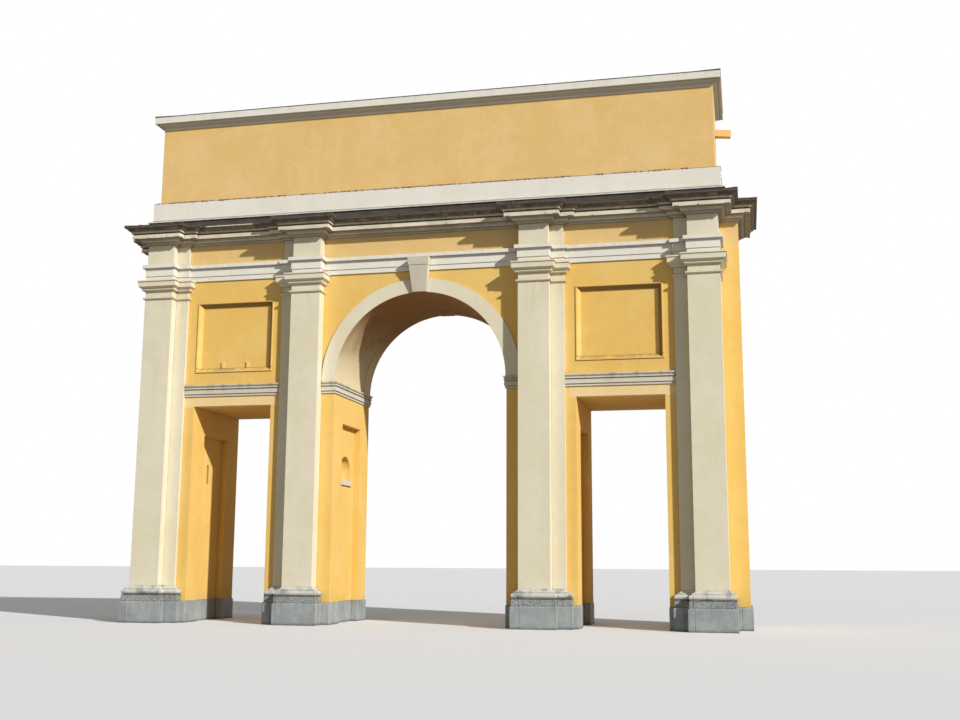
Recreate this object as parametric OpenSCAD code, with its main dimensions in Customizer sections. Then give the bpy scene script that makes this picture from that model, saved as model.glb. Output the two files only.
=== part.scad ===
// Three bay triumphal arch of stuccoed masonry with Tuscan pilasters and an attic.
// Millimetres. X runs along the front, the front faces -Y, Z is up from the ground.
// Plan symmetrical about X = 0 and Y = 0, but for a narrower left end wall and the slots in the outer jambs.

/* [Plan] */
// Thickness of the arch between its front and back wall faces
wall_depth = 3220; // [3000:10:3600]
// Width of wall between the central opening and an inner pilaster
central_margin = 400; // [350:5:450]
// Width of wall between an inner half pilaster and the side opening
side_margin_in = 300; // [250:5:350]
// Width of wall between the side opening and an outer half pilaster
side_margin_out = 305; // [250:5:350]
// How far the pier behind an outer pilaster stops short of its outer side
corner_wrap = 100; // [60:5:160]
// How far the end walls stand out beyond the outer pilasters
end_out = 515; // [300:5:700]
// How far the right end wall is set back from the front and back faces
right_end_setback = 600; // [500:10:900]
// How far the left end wall is set back from the front and back faces
left_end_setback = 1100; // [600:10:1200]

/* [Openings] */
// Clear width of the central opening
central_w = 5120; // [4900:10:5250]
// Height of the springing of the central arch
springing_z = 6960; // [6700:10:7100]
// Clear width of a side opening
side_w = 2450; // [2300:10:2500]
// Clear height of a side opening
side_h = 6320; // [6000:10:6400]
// Height of a lintel over a side opening, up to the string course
lintel_h = 290; // [240:5:340]

/* [Jambs] */
// Depth of the sunk panel in each jamb
recess_depth = 180; // [100:10:260]
// Width of the sunk panel in each jamb
recess_w = 1640; // [1400:10:1900]
// Height of the sunk panel in the jambs of the side openings
side_recess_h = 5530; // [5200:10:5800]
// Height of the sunk panel in the jambs of the central opening
central_recess_h = 5800; // [5400:10:6200]
// Width of the round headed niche in the jambs of the central opening
niche_w = 900; // [700:10:1000]
// Height of the top of the niche's sill
niche_sill_z = 4180; // [4000:10:4300]
// Height of the niche from its sill to its round head
niche_straight_h = 270; // [200:10:400]
// Thickness of the niche's sill
sill_t = 150; // [100:10:200]
// How far the sill stands out of the sunk panel
sill_out = 60; // [40:5:100]
// How far the sill is wider than the niche on each side
sill_side = 40; // [20:5:80]
// Width of the narrow slot in the outer jamb of a side opening
slot_w = 120; // [80:5:160]
// Height of the slot
slot_h = 570; // [450:10:700]
// Height of the slot's foot
slot_z = 4120; // [3800:10:4400]
// How far the slot lies before the middle of the jamb
slot_forward = 120; // [60:10:180]
// Depth of the slot behind the sunk panel
slot_depth = 350; // [250:10:450]
// Width of the slot where it ends, wider than at its mouth
slot_back_w = 300; // [200:10:400]

/* [Plinth and bases] */
// Height of the stone plinth
plinth_h = 620; // [500:10:800]
// How far the plinth stands out from the walls
wall_plinth_out = 60; // [40:5:90]
// How far the plinth stands out from the jambs
jamb_plinth_out = 15; // [10:5:40]
// How far the plinth stands out from the pilasters
plinth_out = 195; // [180:5:260]
// Width and height of the worn chamfer on top of the plinth
plinth_chamfer = 40; // [20:5:50]
// Height of a pilaster base above the plinth
base_h = 450; // [400:10:520]
// How far the block of a pilaster base stands out
die_out = 165; // [150:5:175]
// Height of the block of a pilaster base
die_h = 180; // [150:5:200]
// Height of the round moulding of a pilaster base
torus_h = 135; // [100:5:150]

/* [Pilasters] */
// Width of a pilaster
pilaster_w = 890; // [850:5:920]
// How far a pilaster stands out from the wall
pilaster_out = 390; // [300:5:450]
// Width of the half pilaster beside it
strip_w = 390; // [350:5:400]
// How far the half pilaster stands out from the wall
strip_out = 110; // [90:5:160]
// Height of wall between the band round the central arch and the architrave
arch_clearance = 235; // [200:5:280]
// Height of the capitals
capital_h = 575; // [500:5:600]
// How far the slab of a capital stands out
abacus_out = 165; // [130:5:185]

/* [Entablature] */
// Height of the architrave
architrave_h = 500; // [420:5:560]
// How far the architrave stands out from the wall between the pilasters
architrave_out = 40; // [25:5:60]
// How far the top band of the architrave stands out
taenia_out = 95; // [60:5:120]
// Height of the frieze
frieze_h = 615; // [500:5:700]
// How far the frieze blocks are set in from the pilasters' faces
frieze_inset = 20; // [10:5:30]
// Height of the cornice
cornice_h = 500; // [440:5:560]
// How far the cornice stands out
cornice_out = 530; // [480:5:560]
// How far the drip band of the cornice stands out
corona_out = 340; // [300:5:380]
// Height of the drip band
corona_h = 110; // [90:5:130]
// Fall of the lead on the cornice, as rise over run
lead_slope = 0.25; // [0.15:0.05:0.3]

/* [Attic] */
// How far the attic's ends are set in from the end walls below
attic_end_inset = 580; // [500:10:700]
// How far the attic walls are set in from the wall face below
attic_inset = 160; // [100:10:250]
// How far the base course stands out from the attic walls
base_course_out = 150; // [100:10:180]
// How far the low course under it stands out from the attic walls
podium_out = 245; // [210:5:300]
// Height of the low course
podium_h = 355; // [320:5:450]
// Height of the base course
base_course_h = 610; // [450:10:700]
// Height of the attic walls
attic_wall_h = 2450; // [2000:10:2800]
// Thickness of the parapet
parapet_t = 500; // [400:10:600]
// Extra thickness of the attic walls below the roof deck
ledge_w = 120; // [80:10:200]
// Height of the coping
coping_h = 375; // [300:5:450]
// How far the coping stands out
coping_out = 230; // [180:5:260]
// Thickness of the lead on the coping
coping_lead_t = 30; // [20:5:40]
// Depth of the underside of the roof deck below the top of the walls
deck_drop = 1030; // [800:10:1200]
// Thickness of the roof deck at the spouts
deck_t = 140; // [100:10:200]
// Rise of the roof deck to the middle
deck_rise = 160; // [80:10:220]
// Width of a water spout
spout_w = 200; // [150:10:260]
// Length of a spout outside the wall
spout_len = 460; // [300:10:600]
// Slope of a spout in degrees
spout_tilt = 6; // [3:1:9]

/* [Arch and mouldings] */
// Gap between the band round the central arch and an inner pilaster
archivolt_gap = 5; // [5:1:20]
// How far the band stands out from the wall
archivolt_out = 50; // [30:5:80]
// How far the band reaches into the vault
archivolt_depth = 550; // [400:10:700]
// How far the band stands in from the vault
archivolt_step = 20; // [10:5:40]
// Width of the keystone at its foot
keystone_foot_w = 420; // [360:10:460]
// Width of the keystone at its top
keystone_top_w = 620; // [560:10:640]
// How far the keystone stands out from the wall at its foot
keystone_foot_out = 120; // [90:10:200]
// How far the keystone stands out from the wall at its top
keystone_out = 330; // [250:10:380]
// How far the keystone rises before the architrave
keystone_rise = 350; // [300:5:370]
// Height of the imposts and string courses
string_h = 350; // [300:5:380]
// How far the imposts and string courses stand out
string_out = 90; // [70:5:105]
// Height of wall between the string course and a wall panel
panel_foot_gap = 370; // [300:10:450]
// Height of wall between a wall panel and the architrave
panel_head_gap = 670; // [600:10:750]
// Width of the frame round a wall panel
panel_frame_w = 140; // [100:5:180]
// Depth of a wall panel behind the wall face
panel_sink = 115; // [60:5:150]
// Depth of a lintel from the wall face
lintel_d = 300; // [250:10:400]
// Length of a lintel on a pier
lintel_bearing = 50; // [40:10:60]

/* [Hidden] */

$fn = 96;
// Steps in which a moulding's curve is drawn
curve_n = 4;
// Reach of cutting bodies past what they cut
past = 50;

half_d = wall_depth / 2;
half_w = central_w / 2;
inner_pilaster_x = half_w + central_margin + pilaster_w / 2;
inner_strip_x = inner_pilaster_x + pilaster_w / 2 + strip_w;
side_in = inner_strip_x + side_margin_in;
side_out = side_in + side_w;
side_x = (side_in + side_out) / 2;
outer_strip_x = side_out + side_margin_out;
outer_pilaster_x = outer_strip_x + strip_w + pilaster_w / 2;
corner_x = outer_pilaster_x + pilaster_w / 2;
pier_end_x = corner_x - corner_wrap;
end_x = corner_x + end_out;
right_end_half_d = half_d - right_end_setback;
left_end_half_d = half_d - left_end_setback;
seat_r = half_w + central_margin - archivolt_gap;

shaft_foot = plinth_h + base_h;
capital_top = springing_z + seat_r + arch_clearance;
shaft_top = capital_top - capital_h;
architrave_top = capital_top + architrave_h;
frieze_top = architrave_top + frieze_h;
cornice_top = frieze_top + cornice_h;
podium_top = cornice_top + podium_h;
base_course_top = podium_top + base_course_h;
attic_top = base_course_top + attic_wall_h;
coping_top = attic_top + coping_h;
attic_half_l = end_x - attic_end_inset;
attic_half_d = half_d - attic_inset;
deck_z = attic_top - deck_drop;
deck_end_top = deck_z + deck_t;
impost_z = springing_z - string_h;
string_z = side_h + lintel_h;
panel_z = string_z + string_h + panel_foot_gap;
panel_h = capital_top - panel_head_gap - panel_z;
niche_spring_z = niche_sill_z + niche_straight_h;
keystone_top = capital_top + keystone_rise;
// The spouts' axes lie a little below the deck's surface
spout_z = deck_end_top - 20;
spout_wall = 40;

ochre = [0.93, 0.76, 0.44];
cream = [0.90, 0.86, 0.73];
white = [0.90, 0.88, 0.82];
stone = [0.56, 0.57, 0.58];
weathered = [0.50, 0.44, 0.38];
lead = [0.24, 0.26, 0.30];

// Points of a moulding run from the bottom up as [projection, height].
// Quarter round that starts outward and ends upright
function ovolo(p0, z0, p1, z1) =
    [for (i = [0:curve_n]) let (a = 90 * i / curve_n) [p0 + (p1 - p0) * sin(a), z1 - (z1 - z0) * cos(a)]];
// Hollow that starts upright and ends outward
function cavetto(p0, z0, p1, z1) =
    [for (i = [0:curve_n]) let (a = 90 * i / curve_n) [p1 - (p1 - p0) * cos(a), z0 + (z1 - z0) * sin(a)]];
// Hollow that starts inward and ends upright
function apophyge(p0, z0, p1, z1) =
    [for (i = [0:curve_n]) let (a = 90 * i / curve_n) [p0 - (p0 - p1) * sin(a), z1 - (z1 - z0) * cos(a)]];
// Half round between two heights
function half_round(p, z0, z1, bulge) =
    [for (i = [0:2 * curve_n]) let (a = 90 * i / curve_n)
        [p + bulge * sin(a), (z0 + z1) / 2 - (z1 - z0) / 2 * cos(a)]];
// Double curve, round below and hollow above
function cyma(p0, z0, p1, z1) =
    let (pm = (p0 + p1) / 2, zm = (z0 + z1) / 2) concat(ovolo(p0, z0, pm, zm), cavetto(pm, zm, p1, z1));
function backwards(list) = [for (i = [len(list) - 1:-1:0]) list[i]];

// Pier plinth beside a pilaster, and the lower one along walls and jambs
pilaster_plinth = [[plinth_out, 0], [plinth_out, plinth_h - plinth_chamfer],
                   [plinth_out - plinth_chamfer, plinth_h]];
wall_plinth = [[wall_plinth_out, 0], [wall_plinth_out, plinth_h - plinth_chamfer],
               [wall_plinth_out / 2, plinth_h]];

// Base: block, sunk joint, torus, fillet and a hollow into the shaft
die_top = plinth_h + die_h;
torus_z = die_top + 15;
torus_top = torus_z + torus_h;
base_fillet_top = torus_top + 40;
base_profile = concat(
    [[die_out, plinth_h], [die_out, die_top], [die_out - 30, die_top], [die_out - 30, torus_z]],
    half_round(die_out - 55, torus_z, torus_top, 60),
    [[die_out - 65, torus_top], [die_out - 65, base_fillet_top]],
    apophyge(die_out - 75, base_fillet_top, 0, shaft_foot));

// Capital: astragal, necking, fillet, ovolo, abacus and its top fillet
astragal_top = shaft_top + 75;
neck_top = astragal_top + 190;
neck_fillet_top = neck_top + 80;
abacus_z = neck_fillet_top + 38;
abacus_top = capital_top - 40;
capital_profile = concat(
    half_round(5, shaft_top, astragal_top, 55),
    [[-5, astragal_top], [-5, neck_top], [60, neck_top], [85, neck_top + 20], [85, neck_fillet_top]],
    ovolo(95, neck_fillet_top, abacus_out - 25, abacus_z),
    [[abacus_out, abacus_z], [abacus_out, abacus_top], [abacus_out + 25, abacus_top],
     [abacus_out + 25, capital_top]]);

// Architrave: two fasciae and the taenia
fascia_z = capital_top + 145;
taenia_z = architrave_top - 105;
architrave_profile = concat(
    [[0, capital_top], [0, fascia_z], [20, fascia_z], [20, taenia_z - 20]],
    cavetto(25, taenia_z - 20, taenia_out - 10, taenia_z),
    [[taenia_out, taenia_z], [taenia_out, architrave_top]]);

// Cornice: bed fillet and ovolo, corona with its drip, sunk joint, fillet and the crowning cyma
bed_z = frieze_top + 50;
bed_top = bed_z + 75;
corona_z = bed_top + 25;
corona_top = corona_z + corona_h;
joint_top = corona_top + 45;
crown_z = joint_top + 55;
crown_top = cornice_top - 50;
cornice_profile = concat(
    [[frieze_inset, frieze_top], [frieze_inset, frieze_top + 12], [50, frieze_top + 12], [50, bed_z]],
    ovolo(60, bed_z, 150, bed_top),
    [[170, bed_top], [170, corona_z + 15], [corona_out - 45, corona_z + 15], [corona_out - 45, corona_z],
     [corona_out, corona_z], [corona_out, corona_top], [corona_out - 25, corona_top],
     [corona_out - 25, joint_top], [corona_out + 30, joint_top], [corona_out + 30, crown_z]],
    cyma(corona_out + 40, crown_z, cornice_out - 20, crown_top),
    [[cornice_out, crown_top], [cornice_out, cornice_top]]);

// Lead on the cornice, from its drip up to the low course
lead_run = min(pilaster_w / 2, (pilaster_w / 2 + strip_w) / 2) - 35;
lead_profile = [[cornice_out + 8, cornice_top], [cornice_out + 8, cornice_top + 15],
                [-lead_run, cornice_top + 15 + lead_slope * (cornice_out + 8 + lead_run)]];

// Coping: hollow soffit, fillet and fascia
hollow_top = attic_top + 110;
soffit_z = attic_top + 160;
coping_profile = concat(
    cavetto(0, attic_top, coping_out - 110, hollow_top),
    [[coping_out - 100, hollow_top], [coping_out - 100, soffit_z], [coping_out, soffit_z],
     [coping_out, coping_top]]);

// Impost and string course: fillet, band, small fillet, hollow and cap, as shares of projection and height
string_steps = [[0.4, 0], [0.4, 0.13], [0.25, 0.14], [0.25, 0.18], [0.65, 0.21], [0.65, 0.53], [0.45, 0.54],
                [0.45, 0.61], [0.85, 0.63], [0.85, 0.72], [0.6, 0.74], [0.6, 0.8], [0.8, 0.83], [1, 0.9], [1, 1]];
function string_profile(foot) = [for (s = string_steps) [string_out * s[0], foot + string_h * s[1]]];

// Block whose sides carry a moulding, mitred at the corners that have it on both sides
module moulded_block(x0, x1, y0, y1, profile, left = 1, right = 1, front = 1, back = 0) {
    high = len(profile) - 1;
    reach = 1000;
    intersection() {
        translate([0, y1 + reach, 0])
            rotate([90, 0, 0])
                linear_extrude(y1 - y0 + 2 * reach)
                    polygon(concat([for (q = profile) [x0 - left * q[0], q[1]]],
                                   [for (q = backwards(profile)) [x1 + right * q[0], q[1]]]));
        translate([x0 - reach, 0, 0])
            rotate([90, 0, 90])
                linear_extrude(x1 - x0 + 2 * reach)
                    polygon(concat([for (q = profile) [y0 - front * q[0], q[1]]],
                                   [for (q = backwards(profile)) [y1 + back * q[0], q[1]]]));
    }
}

// Straight moulding fixed to the front wall face
module wall_moulding(x0, x1, profile, out = 0) {
    translate([x0, -half_d, 0])
        rotate([90, 0, 90])
            linear_extrude(x1 - x0)
                polygon(concat([[0, profile[0][1]]], [for (q = profile) [-out - q[0], q[1]]],
                               [[0, profile[len(profile) - 1][1]]]));
}

module box(x0, x1, y0, y1, z0, z1) {
    translate([x0, y0, z0])
        cube([x1 - x0, y1 - y0, z1 - z0]);
}

module both_ends() {
    children();
    mirror([1, 0, 0])
        children();
}

module both_fronts() {
    children();
    mirror([0, 1, 0])
        children();
}

// Inner pilaster with its half pilaster on the side away from the arch, as moulded blocks
module inner_order(profile) {
    x0 = inner_pilaster_x - pilaster_w / 2;
    x1 = inner_pilaster_x + pilaster_w / 2;
    moulded_block(x0, x1, -half_d - pilaster_out, -half_d, profile);
    moulded_block(inner_pilaster_x, inner_strip_x, -half_d - strip_out, -half_d, profile);
}

// Outer pilaster with its half pilaster towards the side opening, returned round the corner to the end wall
module outer_order(profile, end_half_d) {
    x0 = outer_pilaster_x - pilaster_w / 2;
    moulded_block(x0, corner_x, -half_d - pilaster_out, -half_d, profile);
    moulded_block(outer_strip_x, outer_pilaster_x, -half_d - strip_out, -half_d, profile);
    moulded_block(pier_end_x, corner_x, -half_d - pilaster_out, -end_half_d, profile, left = 0);
}

module front_row(profile) {
    both_ends()
        inner_order(profile);
    outer_order(profile, right_end_half_d);
    mirror([1, 0, 0])
        outer_order(profile, left_end_half_d);
}

// Blocks that fill the whole plan, breaking forward over the pilasters and the end walls
module full_plan(profile) {
    moulded_block(-corner_x, corner_x, -half_d, half_d, profile, back = 1);
    moulded_block(0, end_x, -right_end_half_d, right_end_half_d, profile, left = 0, back = 1);
    moulded_block(-end_x, 0, -left_end_half_d, left_end_half_d, profile, right = 0, back = 1);
    both_ends() {
        for (x = [inner_pilaster_x, outer_pilaster_x])
            moulded_block(x - pilaster_w / 2, x + pilaster_w / 2, -half_d - pilaster_out,
                          half_d + pilaster_out, profile, back = 1);
        for (x = [inner_pilaster_x, outer_strip_x])
            moulded_block(x, x + pilaster_w / 2 + strip_w, -half_d - strip_out, half_d + strip_out, profile,
                          back = 1);
    }
}

// Sunk panel of a jamb whose face is at x and looks along side
module recess(x, side, height, inset = 0) {
    depth = recess_depth - inset;
    x0 = side > 0 ? x - depth : x - past;
    box(x0, x0 + depth + past, -recess_w / 2 + inset, recess_w / 2 - inset, -past, height);
}

// Round niche behind the sunk panel of a jamb
module niche(x, side) {
    back_x = x - side * recess_depth;
    translate([back_x, 0, niche_sill_z])
        cylinder(h = niche_spring_z - niche_sill_z, d = niche_w);
    translate([back_x, 0, niche_spring_z])
        sphere(d = niche_w);
}

// Narrow slot in the sunk panel of the outer jamb, splayed wider inwards
module slot() {
    mouth_x = side_out + recess_depth;
    translate([0, 0, slot_z])
        linear_extrude(slot_h)
            polygon([[mouth_x - past, -slot_forward - slot_w / 2], [mouth_x, -slot_forward - slot_w / 2],
                     [mouth_x + slot_depth, -slot_forward - slot_back_w / 2],
                     [mouth_x + slot_depth, -slot_forward + slot_back_w / 2],
                     [mouth_x, -slot_forward + slot_w / 2], [mouth_x - past, -slot_forward + slot_w / 2]]);
}

// Half round space for the central arch and the bands at its fronts
module arch_seat() {
    intersection() {
        translate([0, half_d + past, springing_z])
            rotate([90, 0, 0])
                cylinder(h = wall_depth + 2 * past, r = seat_r);
        box(-corner_x, corner_x, -half_d - past, half_d + past, springing_z, frieze_top);
    }
}

module lintel(x, grow = 0) {
    reach = side_w / 2 + lintel_bearing;
    box(x - reach, x + reach, -half_d - grow, -half_d + lintel_d, side_h, string_z);
}

module right_inner_pier() {
    color(ochre)
        difference() {
            box(half_w, side_in, -half_d, half_d, plinth_h, frieze_top);
            recess(half_w, -1, central_recess_h);
            recess(side_in, 1, side_recess_h);
            niche(half_w, -1);
            arch_seat();
            both_fronts()
                lintel(side_x, past);
        }
}

module outer_pier(end_half_d) {
    color(ochre)
        difference() {
            union() {
                box(side_out, pier_end_x, -half_d, half_d, plinth_h, frieze_top);
                box(side_out, end_x, -end_half_d, end_half_d, plinth_h, frieze_top);
            }
            recess(side_out, -1, side_recess_h);
            slot();
            both_fronts()
                lintel(side_x, past);
        }
}

module left_inner_pier() {
    mirror([1, 0, 0])
        right_inner_pier();
}

module right_outer_pier() {
    outer_pier(right_end_half_d);
}

module left_outer_pier() {
    mirror([1, 0, 0])
        outer_pier(left_end_half_d);
}

module right_bay_wall() {
    color(ochre)
        difference() {
            box(side_in, side_out, -half_d, half_d, side_h, frieze_top);
            both_fronts() {
                lintel(side_x, past);
                box(side_in, side_out, -half_d - past, -half_d + panel_sink, panel_z, panel_z + panel_h);
            }
        }
}

module left_bay_wall() {
    mirror([1, 0, 0])
        right_bay_wall();
}

// Ring of the central arch between the bands at its fronts
module arch_barrel() {
    color(ochre)
        intersection() {
            difference() {
                arch_seat();
                translate([0, half_d + past, springing_z])
                    rotate([90, 0, 0])
                        cylinder(h = wall_depth + 2 * past, r = half_w);
            }
            box(-seat_r, seat_r, -half_d + archivolt_depth, half_d - archivolt_depth, springing_z, frieze_top);
        }
}

module central_spandrels() {
    color(ochre)
        difference() {
            box(-half_w, half_w, -half_d, half_d, springing_z, frieze_top);
            arch_seat();
        }
}

jamb_share = jamb_plinth_out / wall_plinth_out;

module right_inner_plinth() {
    color(stone)
        union() {
            difference() {
                moulded_block(half_w, side_in, -half_d, half_d, wall_plinth, left = jamb_share,
                              right = jamb_share, back = 1);
                recess(half_w, -1, central_recess_h, jamb_plinth_out);
                recess(side_in, 1, side_recess_h, jamb_plinth_out);
            }
            both_fronts()
                inner_order(pilaster_plinth);
        }
}

module outer_plinth(end_half_d) {
    color(stone)
        union() {
            difference() {
                moulded_block(side_out, pier_end_x, -half_d, half_d, wall_plinth, left = jamb_share, right = 0,
                              back = 1);
                recess(side_out, -1, side_recess_h, jamb_plinth_out);
            }
            moulded_block(outer_strip_x, end_x, -end_half_d, end_half_d, wall_plinth, left = 0, back = 1);
            both_fronts()
                outer_order(pilaster_plinth, end_half_d);
        }
}

module left_inner_plinth() {
    mirror([1, 0, 0])
        right_inner_plinth();
}

module right_outer_plinth() {
    outer_plinth(right_end_half_d);
}

module left_outer_plinth() {
    mirror([1, 0, 0])
        outer_plinth(left_end_half_d);
}

module pilaster_bases() {
    color(stone)
        both_fronts()
            front_row(base_profile);
}

shaft_profile = [[0, shaft_foot], [0, shaft_top]];

module front_right_inner_pilaster() {
    color(cream)
        inner_order(shaft_profile);
}

module front_right_outer_pilaster() {
    color(cream)
        outer_order(shaft_profile, right_end_half_d);
}

module front_left_inner_pilaster() {
    mirror([1, 0, 0])
        front_right_inner_pilaster();
}

module front_left_outer_pilaster() {
    color(cream)
        mirror([1, 0, 0])
            outer_order(shaft_profile, left_end_half_d);
}

module back_right_inner_pilaster() {
    mirror([0, 1, 0])
        front_right_inner_pilaster();
}

module back_right_outer_pilaster() {
    mirror([0, 1, 0])
        front_right_outer_pilaster();
}

module back_left_inner_pilaster() {
    mirror([0, 1, 0])
        front_left_inner_pilaster();
}

module back_left_outer_pilaster() {
    mirror([0, 1, 0])
        front_left_outer_pilaster();
}

module front_capitals() {
    color(cream)
        front_row(capital_profile);
}

module back_capitals() {
    mirror([0, 1, 0])
        front_capitals();
}

// Outline of the keystone on the front, from its foot in the arch to its top
keystone_foot_z = springing_z + half_w - archivolt_step - 10;

module keystone_outline(grow = 0) {
    polygon([[-keystone_foot_w / 2 - grow, keystone_foot_z], [keystone_foot_w / 2 + grow, keystone_foot_z],
             [keystone_top_w / 2 + grow, keystone_top], [-keystone_top_w / 2 - grow, keystone_top]]);
}

// The keystone's outline drawn out from the back of the band to before the wall
module keystone_wedge() {
    translate([0, -half_d + archivolt_depth, 0])
        rotate([90, 0, 0])
            linear_extrude(archivolt_depth + keystone_out)
                keystone_outline();
}

// Upper part of the keystone, standing a little out of the rest on its face and sides
cap_z = fascia_z - 25;
cap_side = 12;

module keystone_cap() {
    intersection() {
        translate([0, -half_d, 0])
            rotate([90, 0, 0])
                linear_extrude(keystone_out + cap_side)
                    keystone_outline(cap_side);
        keystone_lean(cap_side);
        box(-half_w, half_w, -half_d - 2 * keystone_out, -half_d, cap_z, keystone_top);
    }
}

// Body before the wall whose face leans out as the keystone's does
module keystone_lean(grow = 0) {
    translate([-half_w, 0, 0])
        rotate([90, 0, 90])
            linear_extrude(central_w)
                polygon([[-half_d - keystone_foot_out - grow, keystone_foot_z],
                         [-half_d - keystone_out - grow, keystone_top], [-half_d, keystone_top],
                         [-half_d, keystone_foot_z]]);
}

module pilaster_architraves() {
    color(white)
        both_fronts()
            front_row(architrave_profile);
}

module wall_architraves() {
    run_in = inner_pilaster_x + pilaster_w / 2;
    run_out = outer_pilaster_x - pilaster_w / 2;
    color(white)
        both_fronts()
            difference() {
                union() {
                    wall_moulding(-inner_pilaster_x, inner_pilaster_x, architrave_profile, architrave_out);
                    both_ends()
                        wall_moulding(run_in, run_out, architrave_profile, architrave_out);
                }
                front_row(architrave_profile);
                keystone_wedge();
                keystone_cap();
            }
}

frieze_profile = [[-frieze_inset, architrave_top], [-frieze_inset, frieze_top]];

module frieze_blocks() {
    color(cream)
        both_fronts()
            front_row(frieze_profile);
}

module cornice() {
    color(weathered)
        full_plan(cornice_profile);
}

module cornice_lead() {
    color(lead)
        difference() {
            full_plan(lead_profile);
            podium_block();
        }
}

// Low course with a thin nosing round its top
nosing_h = 35;
nosing_out = 20;
podium_profile = [[podium_out, cornice_top], [podium_out, podium_top - nosing_h],
                  [podium_out + nosing_out, podium_top - nosing_h], [podium_out + nosing_out, podium_top]];

module podium_block() {
    moulded_block(-attic_half_l, attic_half_l, -attic_half_d, attic_half_d, podium_profile, back = 1);
}

module attic_podium() {
    color(lead)
        podium_block();
}

module attic_base_course() {
    reach_x = attic_half_l + base_course_out;
    reach_y = attic_half_d + base_course_out;
    color(white)
        box(-reach_x, reach_x, -reach_y, reach_y, podium_top, base_course_top);
}

module attic_front_wall() {
    color(ochre) {
        box(-attic_half_l, attic_half_l, -attic_half_d, -attic_half_d + parapet_t, base_course_top, attic_top);
        box(-attic_half_l + parapet_t, attic_half_l - parapet_t, -attic_half_d + past,
            -attic_half_d + parapet_t + ledge_w, base_course_top, deck_z);
    }
}

module attic_back_wall() {
    mirror([0, 1, 0])
        attic_front_wall();
}

// Tilted body through the end wall, as wide and as high as given
module spout_body(wide, low, high, x0, x1) {
    translate([attic_half_l, 0, spout_z])
        rotate([0, spout_tilt, 0])
            box(x0, x1, -wide / 2, wide / 2, low, high);
}

module spout_envelope() {
    intersection() {
        spout_body(spout_w, -spout_w / 2, spout_w / 2, -2 * parapet_t, spout_len);
        box(attic_half_l - parapet_t, attic_half_l + 2 * spout_len, -spout_w, spout_w, 0, attic_top);
    }
}

module water_spouts() {
    inner_w = spout_w - 2 * spout_wall;
    color(ochre)
        both_ends()
            difference() {
                spout_envelope();
                spout_body(inner_w, -spout_w / 2 + spout_wall, spout_w, -2 * parapet_t, spout_len + past);
            }
}

module attic_end_walls() {
    inner_y = attic_half_d - parapet_t;
    color(ochre)
        both_ends()
            difference() {
                union() {
                    box(attic_half_l - parapet_t, attic_half_l, -inner_y, inner_y, base_course_top, attic_top);
                    box(attic_half_l - parapet_t - ledge_w, attic_half_l - past, -inner_y + ledge_w,
                        inner_y - ledge_w, base_course_top, deck_z);
                }
                spout_envelope();
            }
}

module parapet_void(z0, z1) {
    x = attic_half_l - parapet_t;
    y = attic_half_d - parapet_t;
    box(-x, x, -y, y, z0, z1);
}

module attic_coping() {
    color(white)
        difference() {
            moulded_block(-attic_half_l, attic_half_l, -attic_half_d, attic_half_d, coping_profile, back = 1);
            parapet_void(attic_top - past, coping_top + past);
        }
}

module coping_lead() {
    lead_edge = [[coping_out + 10, coping_top], [coping_out + 10, coping_top + coping_lead_t],
                 [-parapet_t, coping_top + coping_lead_t / 3]];
    color(lead)
        difference() {
            moulded_block(-attic_half_l, attic_half_l, -attic_half_d, attic_half_d, lead_edge, back = 1);
            parapet_void(coping_top - past, coping_top + coping_lead_t + past);
        }
}

module roof_deck() {
    x = attic_half_l - parapet_t;
    y = attic_half_d - parapet_t;
    color(lead)
        translate([0, y, 0])
            rotate([90, 0, 0])
                linear_extrude(2 * y)
                    polygon([[-x, deck_z], [x, deck_z], [x, deck_end_top], [0, deck_end_top + deck_rise],
                             [-x, deck_end_top]]);
}

// Ring of the band at the front, down to the springing
module archivolt_ring() {
    translate([0, -half_d + archivolt_depth, springing_z])
        rotate([90, 0, 0])
            linear_extrude(archivolt_depth + archivolt_out)
                intersection() {
                    difference() {
                        circle(r = seat_r, $fn = 4 * $fn);
                        circle(r = half_w - archivolt_step, $fn = 4 * $fn);
                    }
                    translate([-corner_x, 0])
                        square([2 * corner_x, corner_x]);
                }
}

module front_archivolt() {
    color(cream)
        difference() {
            archivolt_ring();
            keystone_wedge();
        }
}

module back_archivolt() {
    mirror([0, 1, 0])
        front_archivolt();
}

module keystones() {
    color(cream)
        both_fronts() {
            intersection() {
                keystone_wedge();
                union() {
                    keystone_lean();
                    intersection() {
                        arch_seat();
                        box(-half_w, half_w, -half_d, 0, 0, frieze_top);
                    }
                }
            }
            keystone_cap();
        }
}

module imposts() {
    color(white)
        both_ends()
            difference() {
                moulded_block(half_w, half_w + central_margin, -half_d, half_d, string_profile(impost_z),
                              right = 0, back = 1);
                box(half_w, inner_pilaster_x, -half_d, half_d, 0, frieze_top);
            }
}

module string_courses() {
    color(white)
        both_ends()
            both_fronts()
                wall_moulding(inner_strip_x, outer_strip_x, string_profile(string_z));
}

// Moulded frame lying in its sunk panel, drawn flat and then stood up
frame_out = 25;
frame_face = 40;
frame_foot = 20;

module panel_frame() {
    side = side_w / 2;
    high = panel_h / 2;
    edge = [[0, -panel_sink], [0, frame_out - 8], [-8, frame_out]];
    hollow = [[-panel_frame_w, -panel_sink - 1], [-panel_frame_w, frame_foot - panel_sink],
              [-frame_face - 12, 0], [-frame_face, 0], [-frame_face, frame_out + 1]];
    translate([side_x, -half_d, panel_z + high])
        rotate([90, 0, 0])
            difference() {
                moulded_block(-side, side, -high, high, edge, back = 1);
                moulded_block(-side, side, -high, high, hollow, back = 1);
            }
}

module panel_frames() {
    color(ochre)
        both_ends()
            both_fronts()
                panel_frame();
}

module side_lintels() {
    color(cream)
        both_ends()
            both_fronts()
                lintel(side_x);
}

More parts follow.
